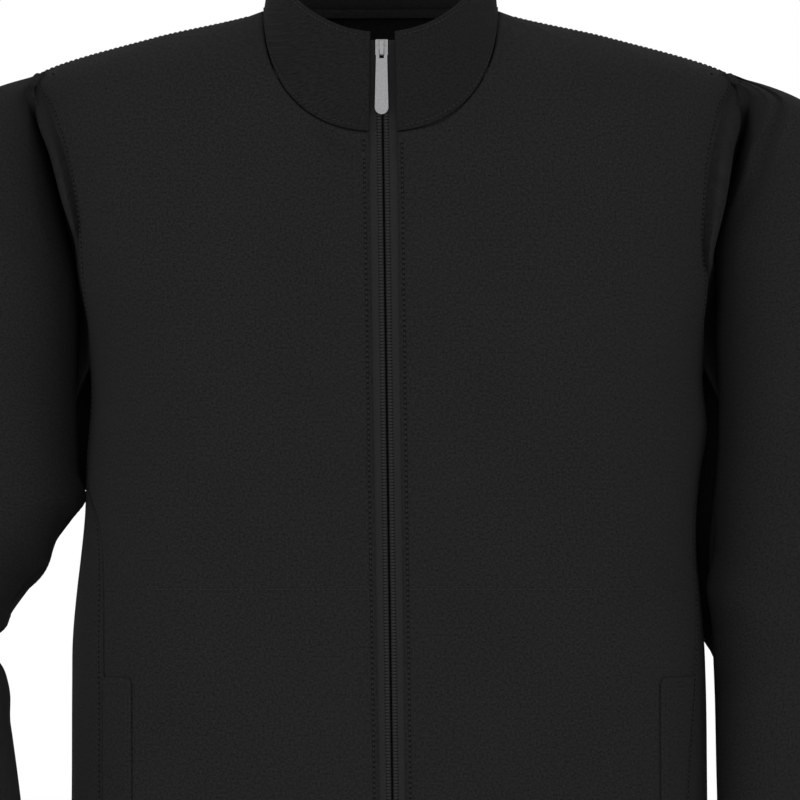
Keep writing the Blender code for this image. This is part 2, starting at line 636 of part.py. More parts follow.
def zip_slider(material):
    """The slider: wings before and behind the tapes, a post between them and a bridge for the tab."""
    z = ZIP_TOP - SLIDER_HIGH / 2 + 0.0005
    x, face = tape_face(z)
    front_wing = face - LAYER_GAP - SLIDER_WING / 2
    back_wing = face + TAPE_WALL + SEAM_GAP + SLIDER_WING / 2
    wing = (SLIDER_WIDE, SLIDER_WING, SLIDER_HIGH)
    slider = centred_block("zip_slider", (x, front_wing, z), wing, material, 0.0005)
    back = centred_block("back_wing", (x, back_wing, z), wing, material, 0.0005)
    post_z = z + SLIDER_HIGH / 2 - 0.0013
    post_y = (front_wing + back_wing) / 2
    post = centred_block("post", (x, post_y, post_z), (0.0020, 0.0040, 0.0018), material, 0.0002)
    front = front_wing - SLIDER_WING / 2
    feet = [
        centred_block("foot", (x, front - BRIDGE_GAP / 2, z + end * BRIDGE_HIGH / 2),
                      (BRIDGE_WIDE, BRIDGE_GAP + 0.0012, BRIDGE_BAR), material, 0.0002)
        for end in (-1, 1)
    ]
    top = centred_block("bridge", (x, front - BRIDGE_GAP - BRIDGE_BAR / 4, z),
                        (BRIDGE_WIDE, BRIDGE_BAR, BRIDGE_HIGH + BRIDGE_BAR), material, 0.0003)
    join(slider, [back, post, *feet, top])
    return x, front - (BRIDGE_GAP - BRIDGE_BAR / 4) / 2, z


def tab_outline():
    """The tab's outline as (across, up) pairs from its hinge, with a round lower end."""
    radius = TAB_WIDE / 2
    foot = [
        (radius * math.cos(turn), radius - TAB_LONG + radius * math.sin(turn))
        for turn in np.linspace(0, -math.pi, 17)
    ]
    head = [(-TAB_HEAD, -0.006), (-TAB_HEAD, 0.0002), (-TAB_HEAD + 0.0006, 0.0008)]
    return [*foot, *head, *[(-x, y) for x, y in head[::-1]]]


def tab_window():
    """The opening at the tab's head, whose upper edge is the bar in the slider's bridge."""
    half = BRIDGE_WIDE / 2 + 0.0004
    return [(-half, -0.0009), (half, -0.0009), (half, -0.0074), (-half, -0.0074)]


def pull_tab(pivot, material):
    """The tab hangs from the slider's bridge, its origin on the hinge."""
    flat = bpy.data.curves.new("pull_tab", "CURVE")
    flat.dimensions = "2D"
    flat.fill_mode = "BOTH"
    flat.bevel_depth = 0.0002
    flat.bevel_resolution = 1
    flat.extrude = TAB_WALL / 2 - flat.bevel_depth
    for loop in (tab_outline(), tab_window()):
        spline = flat.splines.new("POLY")
        spline.points.add(len(loop) - 1)
        spline.use_cyclic_u = True
        for point, (across, up) in zip(spline.points, loop):
            point.co = (across, up, 0, 1)
    guide = bpy.data.objects.new("pull_tab_outline", flat)
    bpy.context.scene.collection.objects.link(guide)
    graph = bpy.context.evaluated_depsgraph_get()
    mesh = bpy.data.meshes.new_from_object(guide.evaluated_get(graph))
    mesh.materials.clear()
    bpy.data.objects.remove(guide)
    weld(mesh)
    tab = add("pull_tab", mesh, material)
    tab.location = pivot
    tab.rotation_euler = (math.pi / 2, 0, 0)


def retainer_box(material):
    """The box that joins the tapes at the hem."""
    z = HEM_Z + TAPE_SHORT + BOX_HIGH / 2
    x, face = tape_face(z)
    middle = (x, face - LAYER_GAP - BOX_WALL / 2, z)
    centred_block("zip_box", middle, (BOX_WIDE, BOX_WALL, BOX_HIGH), material, 0.0006)


def build():
    for piece in list(bpy.data.objects):
        bpy.data.objects.remove(piece)
    jacket = bpy.data.collections.new("softshell_jacket")
    bpy.context.scene.collection.children.link(jacket)
    cloth = finish("softshell", (0.017, 0.017, 0.017), 0.85)
    inside = finish("collar_cloth", (0.016, 0.016, 0.016), 0.85)
    tape = finish("zip_tape", (0.021, 0.021, 0.021), 0.7)
    metal = finish("zip_metal", (0.30, 0.30, 0.31), 0.35, 0.9)
    for side, hand in ((-1, "right"), (1, "left")):
        # The grids run up and round, so the other hand is turned to face out
        front = front_panel(side)
        shell(f"front_{hand}", front if side > 0 else front[:, ::-1], WALL, cloth)
        panel = side_panel(side)
        shell(f"side_panel_{hand}", panel if side > 0 else panel[:, ::-1], WALL, cloth)
        table, folds = (SLEEVE_RIGHT, FOLDS_RIGHT) if side < 0 else (SLEEVE_LEFT, FOLDS_LEFT)
        tube = sleeve(table, folds, side)
        shell(f"sleeve_{hand}", tube if side < 0 else tube[:, ::-1], WALL, cloth, seam=True)
        strip = zip_tape(side)
        shell(f"zip_tape_{hand}", strip if side > 0 else strip[:, ::-1], TAPE_WALL, tape)
        lip = welt(side)
        shell(f"pocket_welt_{hand}", lip[::-1] if side > 0 else lip[::-1, ::-1], WELT_WALL, cloth, outward=True)
    shell("back", back_panel(), WALL, cloth)
    shell("collar", collar_grid(), COLLAR_WALL, inside)
    pull_tab(zip_slider(metal), metal)
    retainer_box(metal)


build()
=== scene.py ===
"""Looks of the softshell jacket: its cloth with creases, stitches, zip coil and studio light.

Metres, +Z up. The wearer faces -Y, so the wearer's right is -X, on the left of the picture.
The tables and surface functions of the cut are those that gave the solids their form. Only the crease
at the armholes is cut deeper here, and the zip's slit is wider.
"""
import math

import bmesh
import bpy
import numpy as np
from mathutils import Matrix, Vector

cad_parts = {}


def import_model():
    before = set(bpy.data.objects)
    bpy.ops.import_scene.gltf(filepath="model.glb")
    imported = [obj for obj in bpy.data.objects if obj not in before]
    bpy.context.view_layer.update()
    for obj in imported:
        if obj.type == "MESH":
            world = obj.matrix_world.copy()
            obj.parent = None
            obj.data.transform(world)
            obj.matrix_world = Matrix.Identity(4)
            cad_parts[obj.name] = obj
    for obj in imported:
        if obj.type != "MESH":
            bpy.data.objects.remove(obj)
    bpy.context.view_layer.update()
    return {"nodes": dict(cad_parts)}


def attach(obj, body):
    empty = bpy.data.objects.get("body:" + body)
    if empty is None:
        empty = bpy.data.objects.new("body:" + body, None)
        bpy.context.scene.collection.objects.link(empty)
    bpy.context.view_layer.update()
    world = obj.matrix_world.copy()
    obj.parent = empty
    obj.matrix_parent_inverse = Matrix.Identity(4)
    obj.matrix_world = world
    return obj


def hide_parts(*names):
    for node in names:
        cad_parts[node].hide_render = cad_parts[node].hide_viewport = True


# Cloth and seams
WALL = 0.0016
COLLAR_WALL = 0.0024
TAPE_WALL = 0.0009
WELT_WALL = 0.0012
SEAM_GAP = 0.0004
SLEEVE_INSET = 0.0005
COLLAR_GAP = 0.0006
LAYER_GAP = 0.0003

# Body
MIDDLE_Y = 0.006
HEM_Z = -0.70
NECK_X = -0.0105
NECK_HALF = 0.080
NECK_DROP = 0.0857
NECK_ROUND = 2.3
NECK_BACK_Z = -0.002

# Armhole, an oval in side view
ARMHOLE_Z = -0.145
ARMHOLE_HIGH = 0.100
ARMHOLE_FRONT = 0.062
ARMHOLE_BACK = 0.064
ARMHOLE_STEPS = 12
UNDERARM_STEPS = 2
SEAM_JOIN = 0.04

# Zip
ZIP_LEAN = -0.0145
BAND_TOP = 0.0097
BAND_HEM = 0.0087
TAPE_UNDER = 0.005
TAPE_SPLIT = 0.0007
TAPE_SPREAD = 0.0017
TAPE_SHORT = 0.002
ZIP_TOP = -0.0235
TAPE_DEEPER = (-0.1117, -0.0897)

# Each row is one level of the body
TORSO_COLUMNS = ("z", "middle_x", "half", "front", "back", "round")
TORSO = (
    (0.000, -0.0105, 0.0780, 0.048, 0.065, 2.00),
    (-0.002, -0.0105, 0.0803, 0.050, 0.066, 2.00),
    (-0.020, -0.0098, 0.1530, 0.066, 0.083, 2.00),
    (-0.045, -0.0085, 0.2340, 0.087, 0.100, 2.30),
    (-0.070, -0.0068, 0.2398, 0.101, 0.112, 2.40),
    (-0.100, -0.0054, 0.2372, 0.112, 0.121, 2.50),
    (-0.130, -0.0040, 0.2310, 0.121, 0.127, 2.60),
    (-0.160, -0.0030, 0.2245, 0.127, 0.130, 2.70),
    (-0.190, -0.0010, 0.2193, 0.131, 0.131, 2.80),
    (-0.220, 0.0000, 0.2115, 0.133, 0.130, 2.80),
    (-0.250, 0.0005, 0.2080, 0.134, 0.128, 2.80),
    (-0.290, 0.0010, 0.2084, 0.133, 0.124, 2.80),
    (-0.320, -0.0017, 0.2077, 0.132, 0.122, 2.80),
    (-0.350, -0.0038, 0.2080, 0.131, 0.121, 2.80),
    (-0.375, -0.0050, 0.2095, 0.130, 0.121, 2.80),
    (-0.400, -0.0052, 0.2122, 0.130, 0.122, 2.80),
    (-0.430, -0.0052, 0.2147, 0.130, 0.123, 2.80),
    (-0.460, -0.0048, 0.2155, 0.131, 0.124, 2.80),
    (-0.520, -0.0045, 0.2160, 0.132, 0.126, 2.80),
    (-0.600, -0.0045, 0.2166, 0.133, 0.128, 2.80),
    (-0.700, -0.0045, 0.2170, 0.134, 0.130, 2.80),
)

# Y of the side panel's two seams, by level
SIDE_SEAM_COLUMNS = ("z", "front_right", "front_left", "back")
SIDE_SEAMS = (
    (-0.225, -0.0250, -0.0250, 0.038),
    (-0.270, -0.0190, -0.0190, 0.044),
    (-0.300, -0.0170, -0.0170, 0.049),
    (-0.321, -0.0230, -0.0210, 0.054),
    (-0.344, -0.0530, -0.0330, 0.059),
    (-0.362, -0.0627, -0.0340, 0.063),
    (-0.378, -0.0670, -0.0360, 0.066),
    (-0.416, -0.0727, -0.0430, 0.071),
    (-0.454, -0.0750, -0.0544, 0.074),
    (-0.520, -0.0760, -0.0660, 0.077),
    (-0.700, -0.0780, -0.0780, 0.080),
)

# Each row is one section of a sleeve: inner and outer are distances from the middle plane, front
# and back are Y, strip is the cloth that lies flat beyond the armhole seam, lean and pitch tilt it
SLEEVE_COLUMNS = ("z", "inner", "outer", "front", "back", "strip", "lean", "pitch")
SLEEVE_LEFT = (
    (-0.046, 0.2260, 0.2280, -0.0020, 0.0140, 0.0000, 0.00, 0.00),
    (-0.052, 0.2325, 0.2500, -0.0200, 0.0320, 0.0030, 0.00, 0.00),
    (-0.062, 0.2405, 0.2750, -0.0370, 0.0500, 0.0080, 0.00, 0.00),
    (-0.072, 0.2425, 0.2900, -0.0470, 0.0610, 0.0130, 0.00, 0.00),
    (-0.100, 0.2380, 0.3110, -0.0600, 0.0720, 0.0140, 0.00, 0.00),
    (-0.125, 0.2315, 0.3220, -0.0660, 0.0760, 0.0135, 0.00, 0.00),
    (-0.150, 0.2230, 0.3300, -0.0700, 0.0780, 0.0100, 0.00, 0.00),
    (-0.170, 0.2192, 0.3340, -0.0715, 0.0780, 0.0050, 0.00, 0.00),
    (-0.185, 0.2183, 0.3360, -0.0720, 0.0770, 0.0024, 0.00, 0.00),
    (-0.215, 0.2176, 0.3380, -0.0710, 0.0740, 0.0000, 0.00, 0.00),
    (-0.267, 0.2190, 0.3390, -0.0700, 0.0710, 0.0000, 0.00, 0.00),
    (-0.321, 0.2169, 0.3360, -0.0670, 0.0660, 0.0000, 0.00, 0.00),
    (-0.362, 0.2130, 0.3280, -0.0640, 0.0610, 0.0000, 0.00, -0.03),
    (-0.397, 0.2132, 0.3200, -0.0620, 0.0560, 0.0000, 0.00, -0.06),
    (-0.430, 0.2150, 0.3150, -0.0630, 0.0510, 0.0000, 0.00, -0.09),
    (-0.462, 0.2163, 0.3110, -0.0650, 0.0450, 0.0000, -0.01, -0.12),
    (-0.520, 0.2175, 0.3050, -0.0690, 0.0330, 0.0000, -0.02, -0.15),
    (-0.600, 0.2195, 0.2990, -0.0750, 0.0130, 0.0000, -0.02, -0.16),
    (-0.675, 0.2215, 0.2950, -0.0810, 0.0000, 0.0000, -0.02, -0.16),
)
SLEEVE_RIGHT = (
    (-0.046, 0.2430, 0.2450, -0.0020, 0.0140, 0.0000, 0.00, 0.00),
    (-0.052, 0.2480, 0.2660, -0.0200, 0.0320, 0.0025, 0.00, 0.00),
    (-0.062, 0.2515, 0.2880, -0.0370, 0.0500, 0.0065, 0.00, 0.00),
    (-0.072, 0.2500, 0.3030, -0.0470, 0.0610, 0.0100, 0.00, 0.00),
    (-0.103, 0.2425, 0.3270, -0.0600, 0.0720, 0.0095, 0.00, 0.00),
    (-0.131, 0.2355, 0.3400, -0.0660, 0.0760, 0.0080, 0.00, 0.00),
    (-0.158, 0.2292, 0.3490, -0.0690, 0.0780, 0.0030, 0.00, 0.00),
    (-0.185, 0.2232, 0.3560, -0.0710, 0.0770, 0.0020, 0.00, 0.00),
    (-0.212, 0.2203, 0.3600, -0.0700, 0.0740, 0.0000, 0.00, 0.00),
    (-0.245, 0.2178, 0.3630, -0.0680, 0.0710, 0.0000, 0.00, 0.00),
    (-0.294, 0.2162, 0.3660, -0.0630, 0.0660, 0.0000, 0.00, 0.00),
    (-0.321, 0.2142, 0.3680, -0.0600, 0.0620, 0.0000, 0.00, 0.00),
    (-0.334, 0.2115, 0.3690, -0.0590, 0.0610, 0.0000, 0.00, 0.00),
    (-0.348, 0.2215, 0.3705, -0.0580, 0.0600, 0.0000, 0.00, -0.02),
    (-0.367, 0.2332, 0.3725, -0.0580, 0.0600, 0.0000, -0.01, -0.05),
    (-0.394, 0.2462, 0.3765, -0.0580, 0.0610, 0.0000, -0.04, -0.10),
    (-0.416, 0.2618, 0.3790, -0.0580, 0.0620, 0.0000, -0.08, -0.17),
    (-0.437, 0.2715, 0.3790, -0.0600, 0.0580, 0.0000, -0.13, -0.25),
    (-0.462, 0.2672, 0.3740, -0.0660, 0.0470, 0.0000, -0.18, -0.34),
    (-0.520, 0.2580, 0.3570, -0.0860, 0.0140, 0.0000, -0.21, -0.42),
    (-0.580, 0.2500, 0.3390, -0.1070, -0.0210, 0.0000, -0.21, -0.43),
    (-0.640, 0.2430, 0.3220, -0.1270, -0.0480, 0.0000, -0.21, -0.43),
)
SLEEVE_ROUND = 2.15
VALLEY_SHARE = 0.16
STRIP_TURN = 0.35
STRIP_FULL = 0.004
GUSSET = 0.022

# The crease between body and sleeve: the angle from the arm's outer side at which the sleeve's tube
# starts before and behind, in degrees, and how far each sleeve lies against the body, 0 to 1
CREASE_COLUMNS = ("z", "before", "behind", "right", "left")
CREASES = (
    (-0.046, 100, 100, 0.0, 0.0),
    (-0.052, 110, 100, 0.0, 0.0),
    (-0.062, 130, 104, 0.0, 0.0),
    (-0.072, 152, 110, 0.0, 0.0),
    (-0.090, 176, 116, 0.0, 0.0),
    (-0.120, 188, 130, 0.0, 0.0),
    (-0.170, 196, 142, 0.0, 0.0),
    (-0.215, 198, 152, 0.0, 0.0),
    (-0.236, 190, 158, 1.0, 1.0),
    (-0.270, 172, 160, 1.0, 1.0),
    (-0.325, 170, 160, 1.0, 1.0),
    (-0.347, 170, 160, 0.0, 1.0),
    (-0.425, 170, 160, 0.0, 1.0),
    (-0.460, 170, 160, 0.0, 0.0),
    (-0.700, 170, 160, 0.0, 0.0),
)
HUG_GAP = 0.0020
HUG_START = 0.25
HUG_FULL = 0.60
HUG_DEPTH = (0.014, 0.040)

# Large folds of the sleeves: level, place round the tube (0 inner seam, 0.25 front, 0.5 outer),
# slope of the fold in metres of level for one whole turn, half width, half reach round, height
FOLD_COLUMNS = ("z", "place", "slope", "width", "reach", "height")
FOLDS_RIGHT = (
    (-0.398, 0.150, 0.10, 0.013, 0.20, -0.0055),
    (-0.424, 0.130, 0.04, 0.010, 0.17, 0.0045),
    (-0.446, 0.140, -0.04, 0.012, 0.18, -0.0050),
    (-0.372, 0.180, 0.22, 0.014, 0.16, 0.0035),
    (-0.480, 0.200, -0.12, 0.016, 0.18, 0.0030),
    (-0.340, 0.780, -0.15, 0.018, 0.16, -0.0030),
    (-0.560, 0.300, 0.10, 0.014, 0.16, -0.0022),
    (-0.610, 0.220, -0.08, 0.014, 0.20, 0.0022),
)
FOLDS_LEFT = (
    (-0.455, 0.250, 0.10, 0.013, 0.14, -0.0025),
    (-0.400, 0.180, -0.12, 0.016, 0.16, 0.0030),
    (-0.360, 0.200, 0.14, 0.018, 0.18, -0.0025),
    (-0.430, 0.780, 0.12, 0.016, 0.18, 0.0030),
    (-0.390, 0.760, -0.10, 0.016, 0.18, -0.0030),
    (-0.560, 0.260, 0.08, 0.015, 0.20, 0.0022),
    (-0.610, 0.230, -0.06, 0.014, 0.22, -0.0022),
)

# Collar
COLLAR_TOP_FRONT = -0.018
COLLAR_TOP_BACK = 0.062
COLLAR_TOP_BEND = 1.6
COLLAR_TOP_HALF = 0.072
COLLAR_FRONT_Y = -0.100
COLLAR_BACK_Y = 0.066

# Pocket welts, on the fronts beside the side panels' seams
WELT_TOP = -0.454
WELT_BOTTOM = -0.618
WELT_INNER_X = 0.1782

# Finer grids than the solids have
FRONT_COLS = 56
FRONT_ROWS = 150
BACK_COLS = 110
SIDE_COLS = 28
SLEEVE_TURNS = 72
FINE_POINTS = 132
FINE_RINGS = 130
TINY_TURN = 0.02
ROW_STEP = 0.0008
FRONT_WIDE = 0.26
BACK_WIDE = 0.50
SIDE_WIDE = 0.15
COLLAR_COLS = 180
COLLAR_ROWS = 22
TAPE_ROWS = 240
TAPE_FINE = (0.28, 15)
TAPE_COARSE = (0.34, 8)
WELT_COLS = 15
WELT_ROWS = 60
OUT_TURN = 0.004
OUT_RISE = 0.0008
NECK_SHARE = 0.42
TOP_BLEND = 6

# Sewn edges: columns beside an edge, how far it turns in and over what width, and how far the sleeves'
# seam edges and the seam allowances run on under the next piece, and how deep
EDGE_LINES = (0.0006, 0.0013, 0.0022, 0.0034)
EDGE_ROLL = 0.0013
EDGE_REACH = 0.0010
SEAM_UNDER = 0.0025
UNDER_DEPTH = 0.0042
ALLOWANCE_WIDE = 0.0040
ALLOWANCE_DEPTH = 0.0026
ALLOWANCE_ROWS = 2
EDGE_CLEAR = 1.5
EDGE_SOFT = 0.30
EDGE_ANGLE = math.radians(60)
SAME_PLACE = 0.00001
NO_LENGTH = 1e-9
UNDERARM_TURN = 0.97 * math.pi

# Crease at the armhole: place of its deep corner. Each sleeve's flank moves toward the body by a first
# value and fades out between two depths below the neck, over shares of the way round the tube
CORNER_SHARE = 0.2
CORNER_AHEAD = 0.012
FLANK_RIGHT = (0.0065, 0.170, 0.270)
FLANK_LEFT = (0.0058, 0.140, 0.200)
FLANK_SHARES = (0.075, 0.115, 0.235, 0.360)

# Zip: distances from its middle, and the pitch of the coil's stitched marks
COIL_PITCH = 0.00216
COIL_MARK = 0.0026
SLIT_HALF = 0.0007
SLIT_SOFT = 0.0004
RIB_X = 0.0017
RIB_HIGH = 0.00035
RIB_WIDE = 0.0005
GROOVE_WIDE = 0.0004

# Stitches
STITCH_PITCH = 0.0035
STITCH_THICK = 0.00045
STITCH_OFF = 0.0034
ZIP_STITCH_OFF = 0.0032
HEM_STITCH = 0.022
CUFF_STITCH = 0.020
SHOULDER_STITCH_OFF = 0.004
BAG_STITCH_Z = -0.3944
ROW_CLEAR = 0.004
ZIP_CLEAR = 0.002
SHOULDER_CLEAR = (0.006, 0.001)
CORNER_CLEAR = 0.008
NECK_END = 2
WELT_IN = 2
LINE_POINTS = {"zip": 300, "armhole": 160, "side": 200, "hem": 500, "shoulder": 60, "bag": 120}
ARMHOLE_START = 0.12

# Form of one stitch: length, half height, half width, and the place of the first in a pitch. Each has
# rings at shares of its length, with shares of its size
STITCH_FORM = (0.0024, STITCH_THICK, STITCH_THICK, 0.5)
# Needle-hole marks: near-black painted shade in the holes
HOLE_SHADE_FORM = (0.0014, 0.00030, 0.0008, 0.0)
BAG_FORM = (0.0026, 0.00016, STITCH_THICK, 0.5)
# Coil marks: dark painted shade in the thread's dips
MARK_FORM = (0.0009, 0.00025, 0.0016, 0.0)
# Coil beads: lighter painted highlight on the rungs
BEAD_FORM = (0.0015, 0.00040, 0.0018, 0.5)
COIL_FORM = (0.0016, 0.00070, 0.0013, 0.5)
STITCH_RINGS = ((-0.5, 0.35), (-0.3, 1.0), (0.3, 1.0), (0.5, 0.35))

# Heights above the tape of the coil's thread marks, dark painted shade and lighter painted highlight, and of
# the coil behind it, and its place beside the slit
COIL_THREAD_LIFT = 0.0003
COIL_LIFT = -0.0018
COIL_X = 0.0005

# Shallow creases of the body: level, place round it (0 at +X, 0.25 behind, 0.75 before), slope in
# metres of level for a whole turn, half width, half reach round, height. They rise between two depths
# below the neck, and between two shares of the armhole's size beyond it
BODY_FOLDS_DEPTH = (0.03, 0.08)
BODY_FOLDS_BEYOND = (0.06, 0.45)
BODY_FOLDS = (
    (-0.120, 0.840, 0.55, 0.030, 0.050, -0.0006),
    (-0.128, 0.665, -0.50, 0.032, 0.050, -0.0006),
    (-0.235, 0.905, -0.90, 0.020, 0.045, 0.0005),
    (-0.240, 0.598, 0.85, 0.022, 0.045, 0.0004),
    (-0.330, 0.880, 0.30, 0.050, 0.080, -0.0004),
    (-0.480, 0.640, -0.25, 0.055, 0.080, 0.0004),
    (-0.560, 0.860, 0.30, 0.050, 0.090, 0.0004),
    (-0.640, 0.700, 0.12, 0.045, 0.100, -0.0004),
    (-0.130, 0.340, 0.60, 0.032, 0.070, -0.0028),
    (-0.140, 0.160, -0.55, 0.030, 0.070, -0.0026),
    (-0.230, 0.395, 0.90, 0.022, 0.060, 0.0026),
    (-0.245, 0.105, -0.95, 0.022, 0.060, 0.0024),
    (-0.300, 0.330, 0.35, 0.026, 0.090, -0.0026),
    (-0.345, 0.180, -0.30, 0.028, 0.100, -0.0028),
    (-0.410, 0.280, 0.18, 0.022, 0.110, 0.0024),
    (-0.450, 0.220, -0.16, 0.024, 0.100, -0.0022),
    (-0.540, 0.300, 0.25, 0.034, 0.110, 0.0018),
    (-0.620, 0.200, -0.20, 0.036, 0.120, -0.0018),
    (-0.300, 0.020, -0.50, 0.026, 0.060, 0.0016),
    (-0.320, 0.480, 0.50, 0.026, 0.060, 0.0016),
)

# Small wrinkles of the sleeves, in the columns of the large folds
WRINKLES_RIGHT = (
    (-0.335, 0.130, 0.30, 0.006, 0.070, 0.0022),
    (-0.352, 0.160, 0.25, 0.006, 0.080, -0.0018),
    (-0.385, 0.110, 0.10, 0.006, 0.090, 0.0020),
    (-0.410, 0.200, 0.05, 0.006, 0.120, -0.0022),
    (-0.436, 0.170, -0.05, 0.006, 0.120, 0.0020),
    (-0.462, 0.220, -0.15, 0.008, 0.130, -0.0018),
    (-0.505, 0.260, -0.20, 0.010, 0.110, 0.0012),
    (-0.130, 0.330, 0.80, 0.016, 0.060, -0.0014),
    (-0.260, 0.300, 0.55, 0.020, 0.090, 0.0010),
    (-0.300, 0.700, -0.40, 0.014, 0.100, 0.0018),
    (-0.380, 0.720, -0.20, 0.012, 0.110, -0.0020),
    (-0.430, 0.760, 0.15, 0.012, 0.120, 0.0018),
    (-0.560, 0.680, 0.20, 0.014, 0.120, 0.0014),
    (-0.600, 0.240, 0.10, 0.008, 0.150, 0.0012),
    (-0.622, 0.200, -0.06, 0.007, 0.160, -0.0012),
)
WRINKLES_LEFT = (
    (-0.095, 0.310, 1.60, 0.022, 0.030, 0.0016),
    (-0.230, 0.330, 0.60, 0.020, 0.080, 0.0009),
    (-0.330, 0.200, 0.35, 0.012, 0.100, -0.0010),
    (-0.455, 0.330, 0.14, 0.005, 0.035, 0.0014),
    (-0.462, 0.330, 0.14, 0.005, 0.035, -0.0012),
    (-0.410, 0.250, -0.20, 0.012, 0.110, 0.0010),
    (-0.380, 0.700, 0.25, 0.014, 0.120, 0.0018),
    (-0.420, 0.740, -0.15, 0.012, 0.120, -0.0020),
    (-0.470, 0.700, 0.20, 0.014, 0.120, 0.0016),
    (-0.590, 0.260, 0.12, 0.008, 0.150, 0.0012),
    (-0.630, 0.300, -0.08, 0.008, 0.160, -0.0012),
    (-0.650, 0.700, 0.10, 0.008, 0.160, 0.0012),
)

# Upright pleats of the sleeve's cap: level, place, drift of the place per metre of level, half width
# round, half length, height
PLEAT_COLUMNS = ("z", "place", "drift", "width", "reach", "height")
PLEATS_RIGHT = (
    (-0.090, 0.420, 0.60, 0.020, 0.060, -0.0020),
    (-0.100, 0.600, -0.40, 0.024, 0.070, -0.0024),
)
PLEATS_LEFT = (
    (-0.092, 0.262, 0.25, 0.010, 0.052, 0.0034),
    (-0.090, 0.296, 0.30, 0.014, 0.056, -0.0042),
    (-0.100, 0.600, -0.40, 0.024, 0.070, -0.0024),
)

# Soft crease of the right front under the collar, as (distance from the middle plane, level), and a
# dent of the left front beside the collar
COLLAR_CREASE = (
    (-0.0517, -0.083), (-0.0456, -0.0904), (-0.0374, -0.0972), (-0.0299, -0.0993), (-0.0225, -0.0999),
)
CREASE_WIDTH = 0.0038
CREASE_HIGH = -0.0036
SHOULDER_DENT = ((0.0300, -0.080), (0.0850, -0.072))
DENT_WIDTH = 0.010
DENT_HIGH = -0.0022

# Picture: the photo's middle in the jacket's plane, its width, and the distance of a long lens
VIEW_X = 0.0027
VIEW_Z = -0.2666
VIEW_WIDE = 0.544
VIEW_FAR = 14.0
SENSOR = 36.0
FLOOR_Z = -1.05
FLOOR_HALF = 6.0

# Light and colour
AMBIENT = 0.56
LIGHT_AIM = (0, 0, -0.35)
KEY_PLACE = (-0.5, -3.6, 0.9)
KEY_SIZE = (3.2, 2.6)
KEY_POWER = 25.0
FILL_PLACE = (3.2, -2.2, 0.4)
FILL_SIZE = (2.0, 1.8)
FILL_POWER = 26.0
CLOTH_COLOUR = (0.0153, 0.0153, 0.0155)
# The collar's cloth is darker than the body's: painted shade for the shadow on the standing collar
COLLAR_PAINTED_SHADE_COLOUR = (0.0120, 0.0120, 0.0123)
TAPE_COLOUR = (0.0190, 0.0190, 0.0192)
# Threads are as black as the cloth, but lighter here: painted highlight for the sheen on their tops
THREAD_AND_HIGHLIGHT_COLOUR = (0.0220, 0.0220, 0.0224)
# Near black: painted shade in the needle holes at the stitches' ends; the zip's coil has this colour too
HOLE_SHADE_AND_COIL_COLOUR = (0.0020, 0.0020, 0.0020)
# Pocket-bag thread, black but lighter than the cloth: painted highlight on the thread
BAG_THREAD_AND_HIGHLIGHT_COLOUR = (0.0230, 0.0230, 0.0233)
# Dark marks on the coil's stitches: painted shade where the thread dips
COIL_DIP_SHADE_COLOUR = (0.0060, 0.0060, 0.0061)
# Coil beads lighter than the tape: painted highlight on the coil's rungs
COIL_HIGHLIGHT_COLOUR = (0.0290, 0.0290, 0.0295)
SLOW_SHARE = 0.10
SHEEN = 0.015
METAL_COLOUR = (0.30, 0.30, 0.31)
FLOOR_COLOUR = (0.88, 0.88, 0.88)
SHEEN_ROUGHNESS = 0.5
SLOW_GRAIN = 12.0
PATTERN_RANGE = {"From_Min": 0.3, "From_Max": 0.7}
FLOOR_FINISH = {"roughness": 0.9, "specular": 0.1}
THREAD_FINISH = {"roughness": 0.8, "specular": 0.15}
TWIST_GRAIN = 2500.0
TWIST_SHADES = (0.75, 1.25)
METAL_FINISH = {"roughness": 0.35, "specular": 0.5, "metallic": 0.9}
BRUSH_GRAIN = 900.0
BRUSH_SHADES = (0.85, 1.12)
BRUSH_ROUGHNESS = {"To_Min": 0.28, "To_Max": 0.48}
BRUSH_HIGH = 0.00003
SHELL_WEAVE = {"grain": 620.0, "rib": 420.0, "high": 0.00010, "contrast": 0.42}
TAPE_WEAVE = {"grain": 900.0, "rib": 500.0, "high": 0.00008, "contrast": 0.22}

# Collar, tapes, welts and pocket bags
COLLAR_BULGE = 0.0010
COLLAR_WAVE = 0.0012
COLLAR_WAVES = 5
COLLAR_WAVE_FROM = (0.3, 1.0)
TAPE_ROLL = 0.0007
SPREAD_HIGH = 0.008
WELT_CORNER = 0.0040
WELT_WIDE = 0.0240
WELT_CLEAR = 0.0012
BAG_ROWS = ((-0.1775, -0.0163), (0.0082, 0.1990))
SLIDER_HIGH = 0.0110
BOX_HIGH = 0.0110


def curve(table, columns, name, at):
    """A smooth curve through one column of a table, read at the levels given."""
    rows = np.array(table)[::-1]
    x = rows[:, 0]
    y = rows[:, columns.index(name)]
    slope = np.gradient(y, x)
    at = np.clip(np.asarray(at, float), x[0], x[-1])
    i = np.clip(np.searchsorted(x, at) - 1, 0, len(x) - 2)
    step = x[i + 1] - x[i]
    t = (at - x[i]) / step
    rise = y[i] * (1 + 2 * t) * (1 - t) ** 2 + y[i + 1] * t**2 * (3 - 2 * t)
    return rise + step * (slope[i] * t * (1 - t) ** 2 - slope[i + 1] * t**2 * (1 - t))


def unit(vectors):
    """The vectors at length 1."""
    return vectors / np.maximum(np.linalg.norm(vectors, axis=-1, keepdims=True), NO_LENGTH)


def unwound(turn):
    """Angles past the back's middle, counted below zero so that they run on across the front."""
    return np.where(turn > math.pi / 2, turn - 2 * math.pi, turn)


def torso_size(z):
    """Middle, half width, front and back depth and roundness of the body at a level."""
    return [curve(TORSO, TORSO_COLUMNS, name, z) for name in TORSO_COLUMNS[1:]]


